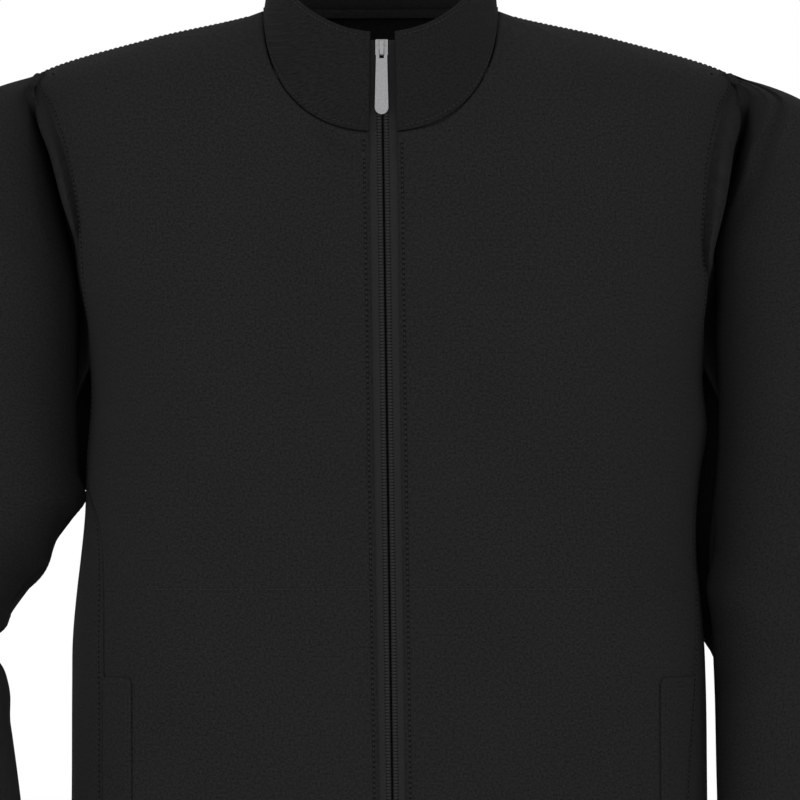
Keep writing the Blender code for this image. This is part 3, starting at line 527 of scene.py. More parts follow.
def point_at_y(side, y, z):
    """The body's surface at a depth and level. Side is -1 on the wearer's right, 1 on the left."""
    middle, half, front, back, roundness = torso_size(z)
    depth = np.where(y < MIDDLE_Y, front, back)
    share = np.clip(np.abs(y - MIDDLE_Y) / depth, 0, 1)
    x = middle + side * half * (1 - share**roundness) ** (1 / roundness)
    return np.stack(np.broadcast_arrays(x, y, z), axis=-1)


def front_at_x(x, z):
    """The body's front surface at a distance from the middle plane and a level."""
    middle, half, front, _, roundness = torso_size(z)
    share = np.clip(np.abs(x - middle) / half, 0, 1)
    y = MIDDLE_Y - front * (1 - share**roundness) ** (1 / roundness)
    return np.stack(np.broadcast_arrays(x, y, z), axis=-1)


def angle_of(point):
    """Direction of a surface point about the body's middle line at its level, 0 at +X."""
    middle = torso_size(point[..., 2])[0]
    return np.arctan2(point[..., 1] - MIDDLE_Y, point[..., 0] - middle)


def torso(angle, z):
    """The body's surface in a direction about its middle line, at a level."""
    middle, half, front, back, roundness = torso_size(z)
    depth = np.where(np.sin(angle) < 0, front, back)
    flat = (np.abs(np.cos(angle)) / half) ** roundness + (np.abs(np.sin(angle)) / depth) ** roundness
    radius = flat ** (-1 / roundness)
    x = middle + radius * np.cos(angle)
    y = MIDDLE_Y + radius * np.sin(angle)
    return np.stack(np.broadcast_arrays(x, y, z), axis=-1)


def armhole(turn, front, grow):
    """Depth and level on the armhole, turn running from 0 at the top to pi under the arm."""
    reach = -(ARMHOLE_FRONT + grow) if front else ARMHOLE_BACK + grow
    return MIDDLE_Y + reach * np.sin(turn), ARMHOLE_Z + (ARMHOLE_HIGH + grow) * np.cos(turn)


def armhole_depth(z, front):
    """Y of the body panels' edge at the armhole, or of the shoulder seam above it."""
    grow = SEAM_GAP / 2
    reach = -(ARMHOLE_FRONT + grow) if front else ARMHOLE_BACK + grow
    share = np.clip((z - ARMHOLE_Z) / (ARMHOLE_HIGH + grow), -1, 1)
    seam = -SEAM_GAP / 2 if front else SEAM_GAP / 2
    return MIDDLE_Y + reach * np.sqrt(1 - share**2) + seam


def zip_x(z):
    """The zip's middle, which leans a little, at a level."""
    return ZIP_LEAN * (np.asarray(z) - HEM_Z)


def band(z):
    """Half the width of the zip that shows between the fronts."""
    return BAND_HEM + (BAND_TOP - BAND_HEM) * (np.asarray(z) - HEM_Z) / (ZIP_TOP - HEM_Z)


def neckline(x):
    """Level of the front neckline at a distance from the neck's middle."""
    share = np.clip(np.abs(x - NECK_X) / NECK_HALF, 0, 1)
    return -NECK_DROP * (1 - share**NECK_ROUND) ** (1 / NECK_ROUND)


def seam_depth(z, side, front):
    """Y of the side panel's seam below the armhole, and of the armhole above its lower corner."""
    name = "back" if not front else "front_left" if side > 0 else "front_right"
    seam = curve(SIDE_SEAMS, SIDE_SEAM_COLUMNS, name, z)
    corner_y, corner_z = armhole(math.pi * (1 - UNDERARM_STEPS / ARMHOLE_STEPS), front, SEAM_GAP / 2)
    share = np.clip((z - corner_z) / SEAM_JOIN + 1, 0, 1)
    seam = seam + (corner_y - seam) * share**2
    return np.where(z < corner_z, seam, armhole_depth(z, front))


def smooth_path(keys, share):
    """A rounded path through three points, for shares from 0 to 1."""
    a, b, c = (key[:, None, :] for key in keys)
    t = share[None, :, None]
    bend = 2 * b - (a + c) / 2
    return a * (1 - t) ** 2 + 2 * bend * t * (1 - t) + c * t**2


def ramp(value, start, full):
    """0 before start and 1 past full, with a soft rise between."""
    share = np.clip((value - start) / (full - start), 0, 1)
    return share**2 * (3 - 2 * share)


def fold_height(folds, u, z):
    """Height of the sleeve's large folds at places round the tube and levels."""
    height = np.zeros(np.broadcast(u, z).shape)
    for row in folds:
        fold = dict(zip(FOLD_COLUMNS, row))
        away = (u - fold["place"] + 0.5) % 1 - 0.5
        line = fold["z"] + fold["slope"] * away
        height += fold["height"] * np.exp(-(((z - line) / fold["width"]) ** 2) - (away / fold["reach"]) ** 4)
    return height


def sleeve_ends(side, turn, z, tube, inner_line, strip, angle, is_front):
    """The crease's three lines: seam, crest of the strip beyond it, and the crease's depth."""
    y, level = armhole(turn, is_front, -SLEEVE_INSET)
    seam = point_at_y(side, y, level)[:, :2] * (side, 1)
    under = np.clip((ARMHOLE_Z - ARMHOLE_HIGH - z) / GUSSET, 0, 1)[:, None]
    seam = seam + (inner_line - seam) * under
    valley = tube(angle[:, None])[:, 0]
    outward = np.array([1, STRIP_TURN])
    raised = np.clip(strip / STRIP_FULL, 0, 1)[:, None] if is_front else 0.0
    corner = (seam + valley) / 2
    if is_front:
        deep_x = seam[:, 0] + CORNER_SHARE * (valley - seam)[:, 0]
        deep = np.stack([deep_x, valley[:, 1] - CORNER_AHEAD], axis=-1)
        corner = corner * under + deep * (1 - under)
    crest = corner * (1 - raised) + (seam + strip[:, None] * outward) * raised
    return seam, crest, valley


def sleeve_section(table, side, turn, z, points):
    """Sections of a sleeve as (distance from the middle plane, Y), their middles and half sizes."""
    inner, outer, front, back, strip = (
        curve(table, SLEEVE_COLUMNS, name, z) for name in ("inner", "outer", "front", "back", "strip")
    )
    before, behind = (np.radians(curve(CREASES, CREASE_COLUMNS, name, z)) for name in ("before", "behind"))
    middle = np.stack([(inner + outer) / 2, (front + back) / 2], axis=-1)
    half = np.stack([(outer - inner) / 2, (back - front) / 2], axis=-1)

    def tube(angle):
        swing = np.stack([np.cos(angle), -np.sin(angle)], axis=-1)
        swing = np.sign(swing) * np.abs(swing) ** (2 / SLEEVE_ROUND)
        return middle[:, None, :] + half[:, None, :] * swing

    inner_line = np.stack([inner, middle[:, 1]], axis=-1)
    front_ends = sleeve_ends(side, turn, z, tube, inner_line, strip, before, True)
    back_ends = sleeve_ends(side, turn, z, tube, inner_line, strip, -behind, False)
    u = np.linspace(0, 1, points + 1)
    near = u[u < VALLEY_SHARE] / VALLEY_SHARE
    sweep = (u[(u >= VALLEY_SHARE) & (u <= 1 - VALLEY_SHARE)] - VALLEY_SHARE) / (1 - 2 * VALLEY_SHARE)
    face = tube(before[:, None] - (before + behind)[:, None] * sweep)
    back = smooth_path(back_ends, near)[:, ::-1]
    return np.concatenate([smooth_path(front_ends, near), face, back], axis=1), middle, half


def hugged(flat, side, z, level, middle, half):
    """The sections' inner rear side laid along the body, a little clear of it."""
    hug = np.clip(curve(CREASES, CREASE_COLUMNS, "left" if side > 0 else "right", z), 0, 1)[:, None]
    body = side * point_at_y(side, flat[..., 1], level)[..., 0] + HUG_GAP
    inward = (middle[:, None, 0] - flat[..., 0]) / half[:, None, 0]
    rear = ramp(flat[..., 1] - middle[:, None, 1], *HUG_DEPTH)
    weight = hug * rear * ramp(inward, HUG_START, HUG_FULL)
    flat = flat.copy()
    flat[..., 0] += weight * (body - flat[..., 0])
    return flat


def collar_top(turn):
    """Level of the collar's top edge, low at the zip and high behind the neck."""
    ahead = (1 + np.cos(turn)) / 2
    return COLLAR_TOP_FRONT + (COLLAR_TOP_BACK - COLLAR_TOP_FRONT) * (1 - ahead**COLLAR_TOP_BEND)


def collar(turn, share):
    """The collar's surface: turn is 0 at the front and pi at the back, share 0 at the neck."""
    sway = np.sin(turn)
    ahead = np.cos(turn) > 0
    x = NECK_X + (NECK_HALF - COLLAR_GAP) * sway
    z = np.where(ahead, neckline(NECK_X + NECK_HALF * sway) + COLLAR_GAP, NECK_BACK_Z + LAYER_GAP)
    base_back = MIDDLE_Y - (curve(TORSO, TORSO_COLUMNS, "back", z) - COLLAR_GAP) * np.cos(turn)
    base_y = np.where(ahead, front_at_x(x, z)[..., 1], base_back)
    high = collar_top(turn)
    reach = np.where(ahead, COLLAR_FRONT_Y - MIDDLE_Y, MIDDLE_Y - COLLAR_BACK_Y)
    top_x = NECK_X + COLLAR_TOP_HALF * sway
    top_y = MIDDLE_Y + reach * np.cos(turn)
    base = np.stack(np.broadcast_arrays(x, base_y, z), axis=-1)
    top = np.stack(np.broadcast_arrays(top_x, top_y, high), axis=-1)
    return base + (top - base) * np.asarray(share)[..., None]


def zip_line(z, offset):
    """Points on the tapes' outer face, at offsets from the zip's middle, behind the fronts' wall."""
    x = zip_x(z) + offset
    turn = np.arcsin((x - NECK_X) / NECK_HALF)
    base = neckline(x) + COLLAR_GAP
    share = np.maximum((z - base) / (collar_top(turn) - base), 0)
    y = np.where(z < base, front_at_x(x, z)[..., 1], collar(turn, share)[..., 1])
    deeper = np.clip((z - TAPE_DEEPER[0]) / (TAPE_DEEPER[1] - TAPE_DEEPER[0]), 0, 1)
    inward = WALL + LAYER_GAP + (COLLAR_WALL - WALL + 2 * LAYER_GAP) * deeper
    return np.stack(np.broadcast_arrays(x, y + inward, z), axis=-1)


def near_path(x, z, path, width):
    """1 on a path in the front's plane, falling off to its sides."""
    nearest = np.full(np.shape(x), np.inf)
    for (x0, z0), (x1, z1) in zip(path[:-1], path[1:]):
        run_x, run_z = x1 - x0, z1 - z0
        t = np.clip(((x - x0) * run_x + (z - z0) * run_z) / (run_x**2 + run_z**2), 0, 1)
        nearest = np.minimum(nearest, np.hypot(x - x0 - t * run_x, z - z0 - t * run_z))
    return np.exp(-((nearest / width) ** 2))


def body_out(points):
    """Outward direction of the body's surface at points on it."""
    angle, z = angle_of(points), points[..., 2]
    across = torso(angle + OUT_TURN, z) - torso(angle - OUT_TURN, z)
    along = torso(angle, z + OUT_RISE) - torso(angle, z - OUT_RISE)
    return unit(np.cross(across, along))


def body_height(points):
    """Height of the body's shallow creases at points on its plain surface."""
    x, y, z = (points[..., i] for i in range(3))
    place = angle_of(points) / (2 * math.pi) % 1
    reach = np.where(y < MIDDLE_Y, ARMHOLE_FRONT, ARMHOLE_BACK)
    beyond = np.hypot((y - MIDDLE_Y) / reach, (z - ARMHOLE_Z) / ARMHOLE_HIGH) - 1
    shown = ramp(-z, *BODY_FOLDS_DEPTH) * ramp(beyond, *BODY_FOLDS_BEYOND)
    height = fold_height(BODY_FOLDS, place, z) * shown
    crease = CREASE_HIGH * near_path(x, z, COLLAR_CREASE, CREASE_WIDTH)
    dent = DENT_HIGH * near_path(x, z, SHOULDER_DENT, DENT_WIDTH)
    return height + np.where(y < MIDDLE_Y, crease + dent, 0.0)


def creased(points, lift=0.0):
    """The points moved out to the creased cloth, and a little more where something lies on it."""
    return points + body_out(points) * (body_height(points) + lift)[..., None]


def edged(count, first, last, width):
    """Even shares from 0 to 1, with narrow steps at an end that is sewn."""
    share = np.linspace(0, 1, count + 1)
    near = np.array(EDGE_LINES) / width
    clear = near[-1] * EDGE_CLEAR
    share = share[(share == 0) | (share == 1) | ((share > clear) & (share < 1 - clear))]
    extra = [*(near if first else []), *(1 - near if last else [])]
    return np.sort(np.concatenate([share, extra]))


def rolled(grid, sewn):
    """The grid with its sewn edges turned in a little. Sewn names the edges, of first, last, low, high."""
    out = grid_out(grid)
    away = np.full(grid.shape[:2], 1.0)
    across, along = lengths(grid, 1), lengths(grid, 0)
    reach = {"first": across, "last": across[:, -1:] - across, "low": along, "high": along[-1:] - along}
    for edge in sewn:
        away = np.minimum(away, reach[edge])
    return grid - out * (EDGE_ROLL * np.exp(-((away / EDGE_REACH) ** 2)))[..., None]


def allowance(edge, beside, out):
    """Two rows of a seam allowance at an edge, turned in and then on under the next piece."""
    inner = edge - out * ALLOWANCE_DEPTH
    return [inner, inner + unit(edge - beside) * ALLOWANCE_WIDE]


def front_top(side, share):
    """Direction and level of a front's top edge: the neckline, then the shoulder seam."""
    corner = side * (zip_x(-NECK_DROP) - NECK_X) + band(-NECK_DROP)
    first = math.asin(corner / NECK_HALF)
    turn = first + np.clip(share / NECK_SHARE, 0, 1) * (math.pi / 2 - first)
    x = NECK_X + side * NECK_HALF * np.sin(turn)
    neck_z = np.minimum(neckline(x), NECK_BACK_Z)
    along = np.clip((share - NECK_SHARE) / (1 - NECK_SHARE), 0, 1)
    z = neck_z + (ARMHOLE_Z + ARMHOLE_HIGH - NECK_BACK_Z) * along
    shoulder = angle_of(point_at_y(side, MIDDLE_Y - SEAM_GAP / 2, z))
    neck = angle_of(front_at_x(x, z))
    return np.where(share < NECK_SHARE, neck, shoulder), z


def front_panel(side):
    """Grid of a front panel, columns from the zip and the neckline outward, rows up to them."""
    share = edged(FRONT_COLS, True, True, FRONT_WIDE)
    top_angle, top_z = front_top(side, share)
    t = edged(FRONT_ROWS, False, True, -HEM_Z)[:, None]
    z = HEM_Z + (top_z - HEM_Z) * t

    def plain(z):
        start = angle_of(front_at_x(zip_x(z) + side * band(z), z))
        end = angle_of(point_at_y(side, seam_depth(z, side, True) - SEAM_GAP / 2, z))
        start, end = unwound(start), unwound(end)
        return start + (end - start) * share

    angles = plain(z) + (unwound(top_angle) - plain(top_z)) * t**TOP_BLEND
    grid = creased(torso(angles, z))
    grid = grid if side > 0 else grid[:, ::-1]
    return rolled(grid, ("first", "last", "high"))


def back_panel():
    """Grid of the back, columns from the wearer's left to the right."""
    z = np.linspace(HEM_Z, NECK_BACK_Z, FRONT_ROWS)
    start = angle_of(point_at_y(1, seam_depth(z, 1, False) + SEAM_GAP / 2, z))
    end = angle_of(point_at_y(-1, seam_depth(z, -1, False) + SEAM_GAP / 2, z))
    angles = start[:, None] + (end - start)[:, None] * edged(BACK_COLS, True, True, BACK_WIDE)
    return rolled(creased(torso(angles, z[:, None])), ("first", "last"))


def side_panel(side):
    """Grid of a side panel, whose top edge is the lowest stretch of the armhole."""
    span = math.pi * UNDERARM_STEPS / ARMHOLE_STEPS
    front_y, front_z = armhole(math.pi - np.linspace(span, 0, SIDE_COLS // 2 + 1), True, SEAM_GAP / 2)
    back_y, back_z = armhole(math.pi - np.linspace(0, span, SIDE_COLS // 2 + 1)[1:], False, SEAM_GAP / 2)
    top_y, top_z = np.concatenate([front_y, back_y]), np.concatenate([front_z, back_z])
    top_share = (top_y - top_y[0]) / (top_y[-1] - top_y[0])
    share = edged(SIDE_COLS, True, True, SIDE_WIDE)
    top_z = np.interp(share, top_share, top_z)
    z = HEM_Z + (top_z - HEM_Z) * edged(FRONT_ROWS * 2 // 3, False, True, -HEM_Z)[:, None]
    start = seam_depth(z, side, True) + SEAM_GAP / 2
    end = seam_depth(z, side, False) - SEAM_GAP / 2
    grid = creased(point_at_y(side, start + (end - start) * share, z))
    grid = rolled(grid if side > 0 else grid[:, ::-1], ("first", "last", "high"))
    out = grid_out(grid)
    first = allowance(grid[:, 0], grid[:, 1], out[:, 0])
    last = allowance(grid[:, -1], grid[:, -2], out[:, -1])
    return np.concatenate([np.stack(first[::-1], axis=1), grid, np.stack(last, axis=1)], axis=1)


def pleat_height(pleats, u, z):
    """Height of the upright pleats at places round the sleeve and levels."""
    height = np.zeros(np.broadcast(u, z).shape)
    for row in pleats:
        pleat = dict(zip(PLEAT_COLUMNS, row))
        along = z - pleat["z"]
        away = u - pleat["place"] - pleat["drift"] * along
        fade = -((away / pleat["width"]) ** 2) - (along / pleat["reach"]) ** 4
        height += pleat["height"] * np.exp(fade)
    return height


def sleeve_rows(table):
    """Turn on the armhole and level of a sleeve's rows. The closed rings all have the last turn."""
    turn = np.linspace(0, math.pi, SLEEVE_TURNS + 1)
    turn[0] = TINY_TURN
    z = armhole(turn, True, -SLEEVE_INSET)[1]
    kept = [len(z) - 1]
    for row in range(len(z) - 2, -1, -1):
        if z[row] - z[kept[-1]] > ROW_STEP:
            kept.append(row)
    turn, z = turn[kept[::-1]], z[kept[::-1]]
    z = np.concatenate([z, np.linspace(z[-1], table[-1][0], FINE_RINGS + 1)[1:]])
    return np.concatenate([turn, np.full(FINE_RINGS, math.pi)]), z


def sleeve_height(u, z, folds, wrinkles, pleats):
    """Height of all folds of a sleeve at places round it and levels, none at the armhole's seam."""
    height = fold_height(folds, u, z) + fold_height(wrinkles, u, z) + pleat_height(pleats, u, z)
    from_seam = ramp(np.minimum(u, 1 - u), 0.0, VALLEY_SHARE / 2)
    underarm = ARMHOLE_HIGH - ARMHOLE_Z
    closed = ramp(-z, underarm, underarm + GUSSET)
    return height * (from_seam + (1 - from_seam) * closed)


def flank_shift(u, z, flank):
    """How far a sleeve's flank moves toward the body."""
    shift, upper, lower = flank
    start, full, end, over = FLANK_SHARES
    return shift * ramp(u, start, full) * (1 - ramp(u, end, over)) * (1 - ramp(-z, upper, lower))


def sleeve(side):
    """Grid of a sleeve, open rows at the armhole and closed rings below it, rows running down."""
    right = side < 0
    table, flank = (SLEEVE_RIGHT, FLANK_RIGHT) if right else (SLEEVE_LEFT, FLANK_LEFT)
    relief = (FOLDS_LEFT, WRINKLES_LEFT, PLEATS_LEFT)
    if right:
        relief = (FOLDS_RIGHT, WRINKLES_RIGHT, PLEATS_RIGHT)
    turn, z = sleeve_rows(table)
    flat, middle, half = sleeve_section(table, side, turn, z, FINE_POINTS)
    lean, pitch = (curve(table, SLEEVE_COLUMNS, name, z)[:, None] for name in ("lean", "pitch"))
    off = flat - middle[:, None, :]
    level = z[:, None] + lean * off[..., 0] + pitch * off[..., 1]
    u = np.linspace(0, 1, FINE_POINTS + 1)
    flat = flat + unit(off) * sleeve_height(u, z[:, None], *relief)[..., None]
    flat[..., 0] -= flank_shift(u, z[:, None], flank)
    flat = hugged(flat, side, z, level, middle, half)
    grid = np.stack([side * flat[..., 0], flat[..., 1], level], axis=-1)
    for column, ahead in ((0, True), (-1, False)):
        grid[:, column] = under_body(side, turn, ahead, grid[:, column])
    return grid if right else grid[:, ::-1]


def under_body(side, turn, ahead, seam):
    """A sleeve's seam edge, carried on under the body's cloth except in the closed rings."""
    y, z = armhole(turn, ahead, SEAM_UNDER)
    points = point_at_y(side, y, z)
    points = points - body_out(points) * UNDER_DEPTH
    return np.where((turn < UNDERARM_TURN)[:, None], points, seam)


def collar_grid():
    """Grid of the collar from one side of the zip, round the back, to the other."""
    base_x = zip_x(-NECK_DROP) + np.array([1, -1]) * band(-NECK_DROP) - NECK_X
    first, last = np.arcsin(base_x / NECK_HALF) + np.array([0, 2 * math.pi])
    turn = np.linspace(first, last, COLLAR_COLS)
    share = np.linspace(0, 1, COLLAR_ROWS)[:, None]
    grid = collar(turn[None, :], share)
    roll = COLLAR_BULGE * np.sin(math.pi * share)
    calm = ramp(np.minimum(turn, 2 * math.pi - turn), *COLLAR_WAVE_FROM)
    wave = COLLAR_WAVE * np.sin(COLLAR_WAVES * turn[None, :]) * share * calm
    grid = grid + grid_out(grid) * (roll + wave)[..., None]
    under = allowance(grid[0], grid[1], grid_out(grid)[0])
    return np.concatenate([np.stack(under[::-1]), grid])


def tape_height(offset):
    """Profile of a tape across: edge rolled in at the slit, ridge over the coil, groove of its stitches."""
    away = np.abs(offset)
    roll = -TAPE_ROLL * (1 - ramp(away, TAPE_SPLIT, SLIT_HALF + SLIT_SOFT))
    ridge = RIB_HIGH * np.exp(-(((away - RIB_X) / RIB_WIDE) ** 2))
    groove = -RIB_HIGH / 2 * np.exp(-(((away - COIL_MARK) / GROOVE_WIDE) ** 2))
    return roll + ridge + groove


def zip_tape(side):
    """Grid of a tape, columns closer together over the coil than under the front."""
    z = np.linspace(HEM_Z + TAPE_SHORT, ZIP_TOP, TAPE_ROWS)
    inner = TAPE_SPLIT + TAPE_SPREAD * np.clip((z - ZIP_TOP) / SPREAD_HIGH + 1, 0, 1)
    outer = band(z) + TAPE_UNDER
    (fine_end, fine), (coarse_start, coarse) = TAPE_FINE, TAPE_COARSE
    share = np.concatenate([np.linspace(0, fine_end, fine), np.linspace(coarse_start, 1, coarse)])
    offset = side * (inner[:, None] + (outer - inner)[:, None] * share)
    grid = zip_line(z[:, None], offset)
    grid[..., 1] -= tape_height(offset)
    return grid if side > 0 else grid[:, ::-1]


def welt(side):
    """Grid of a pocket's welt, points of the front panel moved out, with round corners at its inner side."""
    share = np.linspace(0, 1, WELT_COLS)
    radius = WELT_CORNER
    inner = side * WELT_INNER_X
    across = np.clip(share * WELT_WIDE, 0, radius)
    dip = radius - np.sqrt(np.maximum(radius**2 - (radius - across) ** 2, 0))
    top, bottom = WELT_TOP - dip, WELT_BOTTOM + dip
    z = top + (bottom - top) * np.linspace(0, 1, WELT_ROWS)[:, None]
    start = unwound(angle_of(front_at_x(inner, z)))
    end = unwound(angle_of(point_at_y(side, seam_depth(z, side, True) - WELT_CLEAR, z)))
    grid = creased(torso(start + (end - start) * share, z), LAYER_GAP)
    return grid[::-1] if side > 0 else grid[::-1, ::-1]


def grid_out(grid):
    """Outward directions of a grid, by differences along its columns and rows."""
    return unit(np.cross(np.gradient(grid, axis=1), np.gradient(grid, axis=0)))


def lengths(grid, axis):
    """Distance travelled along a grid's rows or columns, from its first line."""
    step = np.linalg.norm(np.diff(grid, axis=axis), axis=-1)
    start = np.zeros_like(np.take(step, [0], axis=axis))
    return np.concatenate([start, np.cumsum(step, axis=axis)], axis=axis)


def weave_places(grid, tube):
    """Flat places for the weave: a sleeve's own lines, else level and distance from the front's middle."""
    if tube:
        across, down, fixed = lengths(grid, 1), lengths(grid, 0), grid.shape[1] // 2
    else:
        across, down, fixed = lengths(grid[..., :2], 1), grid[..., 2], np.argmin(np.abs(grid[-1, :, 0]))
    return np.stack([across - across[:, [fixed]], down], axis=-1).reshape(-1, 2)


def close_seam(mesh):
    """Joins the first and last columns of a tube's closed rings."""
    work = bmesh.new()
    work.from_mesh(mesh)
    bmesh.ops.remove_doubles(work, verts=work.verts, dist=SAME_PLACE)
    work.to_mesh(mesh)
    work.free()


def grid_mesh(name, grid, tube):
    """A mesh of the grid's squares, with the weave's places on it."""
    rows, cols = grid.shape[:2]
    corner = np.arange(rows * cols).reshape(rows, cols)
    quads = [corner[:-1, :-1], corner[:-1, 1:], corner[1:, 1:], corner[1:, :-1]]
    quads = np.stack(quads, axis=-1).reshape(-1, 4)
    mesh = bpy.data.meshes.new(name)
    mesh.from_pydata(grid.reshape(-1, 3).tolist(), [], quads.tolist())
    places = weave_places(grid, tube)[quads.reshape(-1)]
    mesh.uv_layers.new(name="cloth").data.foreach_set("uv", places.astype(np.float32).ravel())
    if tube:
        close_seam(mesh)
    mesh.shade_smooth()
    return mesh


def cloth(node, grid, material, wall, outward, tube):
    """A sheet of cloth on a grid, in place of the solid of that name."""
    piece = add(node + "_cloth", grid_mesh(node + "_cloth", grid, tube), material)
    solid = piece.modifiers.new("wall", "SOLIDIFY")
    solid.thickness = wall
    solid.offset = 1 if outward else -1
    soft = piece.modifiers.new("soft_edge", "BEVEL")
    soft.width = wall * EDGE_SOFT
    soft.segments = 2
    soft.limit_method = "ANGLE"
    soft.angle_limit = EDGE_ANGLE
    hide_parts(node)
    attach(piece, "jacket")
    return piece


def add(name, mesh, material):
    """A mesh as an object of the scene, in one material."""
    piece = bpy.data.objects.new(name, mesh)
    bpy.context.scene.collection.objects.link(piece)
    mesh.materials.append(material)
    return piece


def stitches(line, out, form=STITCH_FORM, pitch=STITCH_PITCH):
    """Corners and faces of a row of stitches along a line that lies on the cloth."""
    long, thick, wide, start = form
    run = np.concatenate([[0], np.cumsum(np.linalg.norm(np.diff(line, axis=0), axis=-1))])
    at = (np.arange(int(run[-1] / pitch)) + start) * pitch

    def read(values, where):
        return np.stack([np.interp(where, run, values[:, i]) for i in range(3)], axis=-1)

    middle = read(line, at)
    ahead = unit(read(line, at + pitch / 4) - read(line, at - pitch / 4))
    up = unit(read(out, at))
    beside = np.cross(ahead, up)
    corners = [
        middle + ahead * (shift * long) + (beside * (a * wide) + up * (b * thick)) * size
        for shift, size in STITCH_RINGS
        for a, b in ((1, 0), (0, 1), (-1, 0), (0, -1))
    ]
    corners = np.stack(corners, axis=1).reshape(-1, 3)
    turn = np.arange(4)
    ring = np.stack([turn, (turn + 1) % 4, (turn + 1) % 4 + 4, turn + 4], axis=-1)
    faces = np.concatenate([ring, ring + 4, ring + 8, [[3, 2, 1, 0], [12, 13, 14, 15]]])
    return corners, (faces[None] + 16 * np.arange(len(middle))[:, None, None]).reshape(-1, 4)


def rows_of_stitches(name, rows, material):
    """One mesh of several rows of stitches."""
    corners, faces, total = [], [], 0
    for points, quads in rows:
        corners.append(points)
        faces.append(quads + total)
        total += len(points)
    mesh = bpy.data.meshes.new(name)
    mesh.from_pydata(np.concatenate(corners).tolist(), [], np.concatenate(faces).tolist())
    mesh.shade_smooth()
    piece = add(name, mesh, material)
    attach(piece, "jacket")


def body_row(points, form=STITCH_FORM):
    """Stitches along points of the body's plain surface, on the creased cloth."""
    return stitches(creased(points, STITCH_THICK / 2), body_out(points), form)


def zip_side_line(side):
    """The line of stitches beside the zip."""
    z = np.linspace(HEM_Z + ROW_CLEAR, -NECK_DROP - ZIP_CLEAR, LINE_POINTS["zip"])
    return front_at_x(zip_x(z) + side * (band(z) + ZIP_STITCH_OFF), z)


def armhole_lines(side):
    """The lines of stitches round an armhole, before and behind."""
    lines = []
    for ahead in (True, False):
        turn = np.linspace(ARMHOLE_START, math.pi, LINE_POINTS["armhole"])
        y, z = armhole(turn, ahead, STITCH_OFF)
        lines.append(point_at_y(side, y, z))
    return lines


def side_seam_lines(side):
    """The lines of stitches along a side panel's two seams."""
    corner = ARMHOLE_Z - ARMHOLE_HIGH
    lines = []
    for ahead, shift in ((True, STITCH_OFF), (False, -STITCH_OFF)):
        z = np.linspace(HEM_Z + ROW_CLEAR, corner - CORNER_CLEAR, LINE_POINTS["side"])
        lines.append(point_at_y(side, seam_depth(z, side, ahead) + shift, z))
    return lines


def hem_row():
    """Stitches round the hem, open at the zip."""
    turn = np.linspace(-math.pi / 2, 1.5 * math.pi, LINE_POINTS["hem"])
    points = torso(turn, np.full(turn.shape, HEM_Z + HEM_STITCH))
    shown = np.abs(points[:, 0] - zip_x(points[:, 2])) > band(HEM_Z) + ZIP_CLEAR
    points = points[shown | (points[:, 1] > MIDDLE_Y)]
    return [body_row(points)]


def shoulder_row(side):
    """Stitches behind the shoulder seam."""
    at_neck, at_armhole = SHOULDER_CLEAR
    z = np.linspace(-at_neck, ARMHOLE_Z + ARMHOLE_HIGH - at_armhole, LINE_POINTS["shoulder"])
    return [body_row(point_at_y(side, np.full(z.shape, MIDDLE_Y + SHOULDER_STITCH_OFF), z))]


def grid_row(grid, row):
    """Stitches along one row of a grid of cloth."""
    line, out = grid[row], grid_out(grid)[row]
    return stitches(line + out * STITCH_THICK / 2, out)


def cuff_row(tube):
    """Stitches round a sleeve's cuff."""
    height = np.linalg.norm(tube[:, 0] - tube[-1, 0], axis=-1)
    return [grid_row(tube, int(np.argmin(np.abs(height - CUFF_STITCH))))]


def welt_rows(side, grid):
    """Stitches inside the welt's edge."""
    out = grid_out(grid)
    near, last = WELT_IN, grid.shape[1] - WELT_IN - 1
    inner = last if (side < 0) != (grid[0, 0, 0] > grid[0, -1, 0]) else near
    upright, across = (slice(near, -near), inner), slice(near, last)
    places = (upright, (near, across), (-near - 1, across))
    lift = WELT_WALL + STITCH_THICK / 2
    return [stitches(grid[place] + out[place] * lift, out[place]) for place in places]


def bag_rows():
    """The row that holds the pocket bags behind both fronts."""
    rows = []
    for low, high in BAG_ROWS:
        x = np.linspace(low, high, LINE_POINTS["bag"])
        rows.append(body_row(front_at_x(x, np.full(x.shape, BAG_STITCH_Z)), BAG_FORM))
    return rows


def zip_rows(offset, lift, form):
    """Pieces at the coil's pitch along both tapes, at an offset from the slit and a lift off the tape."""
    rows = []
    for side in (-1, 1):
        z = np.linspace(HEM_Z + TAPE_SHORT + BOX_HIGH, ZIP_TOP - SLIDER_HIGH, LINE_POINTS["zip"])
        line = zip_line(z, np.full(z.shape, side * offset))
        line[:, 1] -= tape_height(np.array(offset)) + lift
        out = np.tile([0.0, -1.0, 0.0], (len(z), 1))
        rows.append(stitches(line, out, form, COIL_PITCH))
    return rows


def shader(name, colour, roughness, specular, metallic=0.0, sheen=0.0):
    """A material, its nodes and its shader."""
    material = bpy.data.materials.new(name)
    material.use_nodes = True
    nodes = material.node_tree.nodes
    shade = nodes["Principled BSDF"]
    shade.inputs["Base Color"].default_value = (*colour, 1)
    shade.inputs["Roughness"].default_value = roughness
    shade.inputs["Specular IOR Level"].default_value = specular
    shade.inputs["Metallic"].default_value = metallic
    shade.inputs["Sheen Weight"].default_value = sheen
    shade.inputs["Sheen Roughness"].default_value = SHEEN_ROUGHNESS
    return material, material.node_tree, shade


def node(tree, kind, **inputs):
    """A shader node with values in its inputs."""
    made = tree.nodes.new(kind)
    for name, value in inputs.items():
        made.inputs[name.replace("_", " ")].default_value = value
    return made


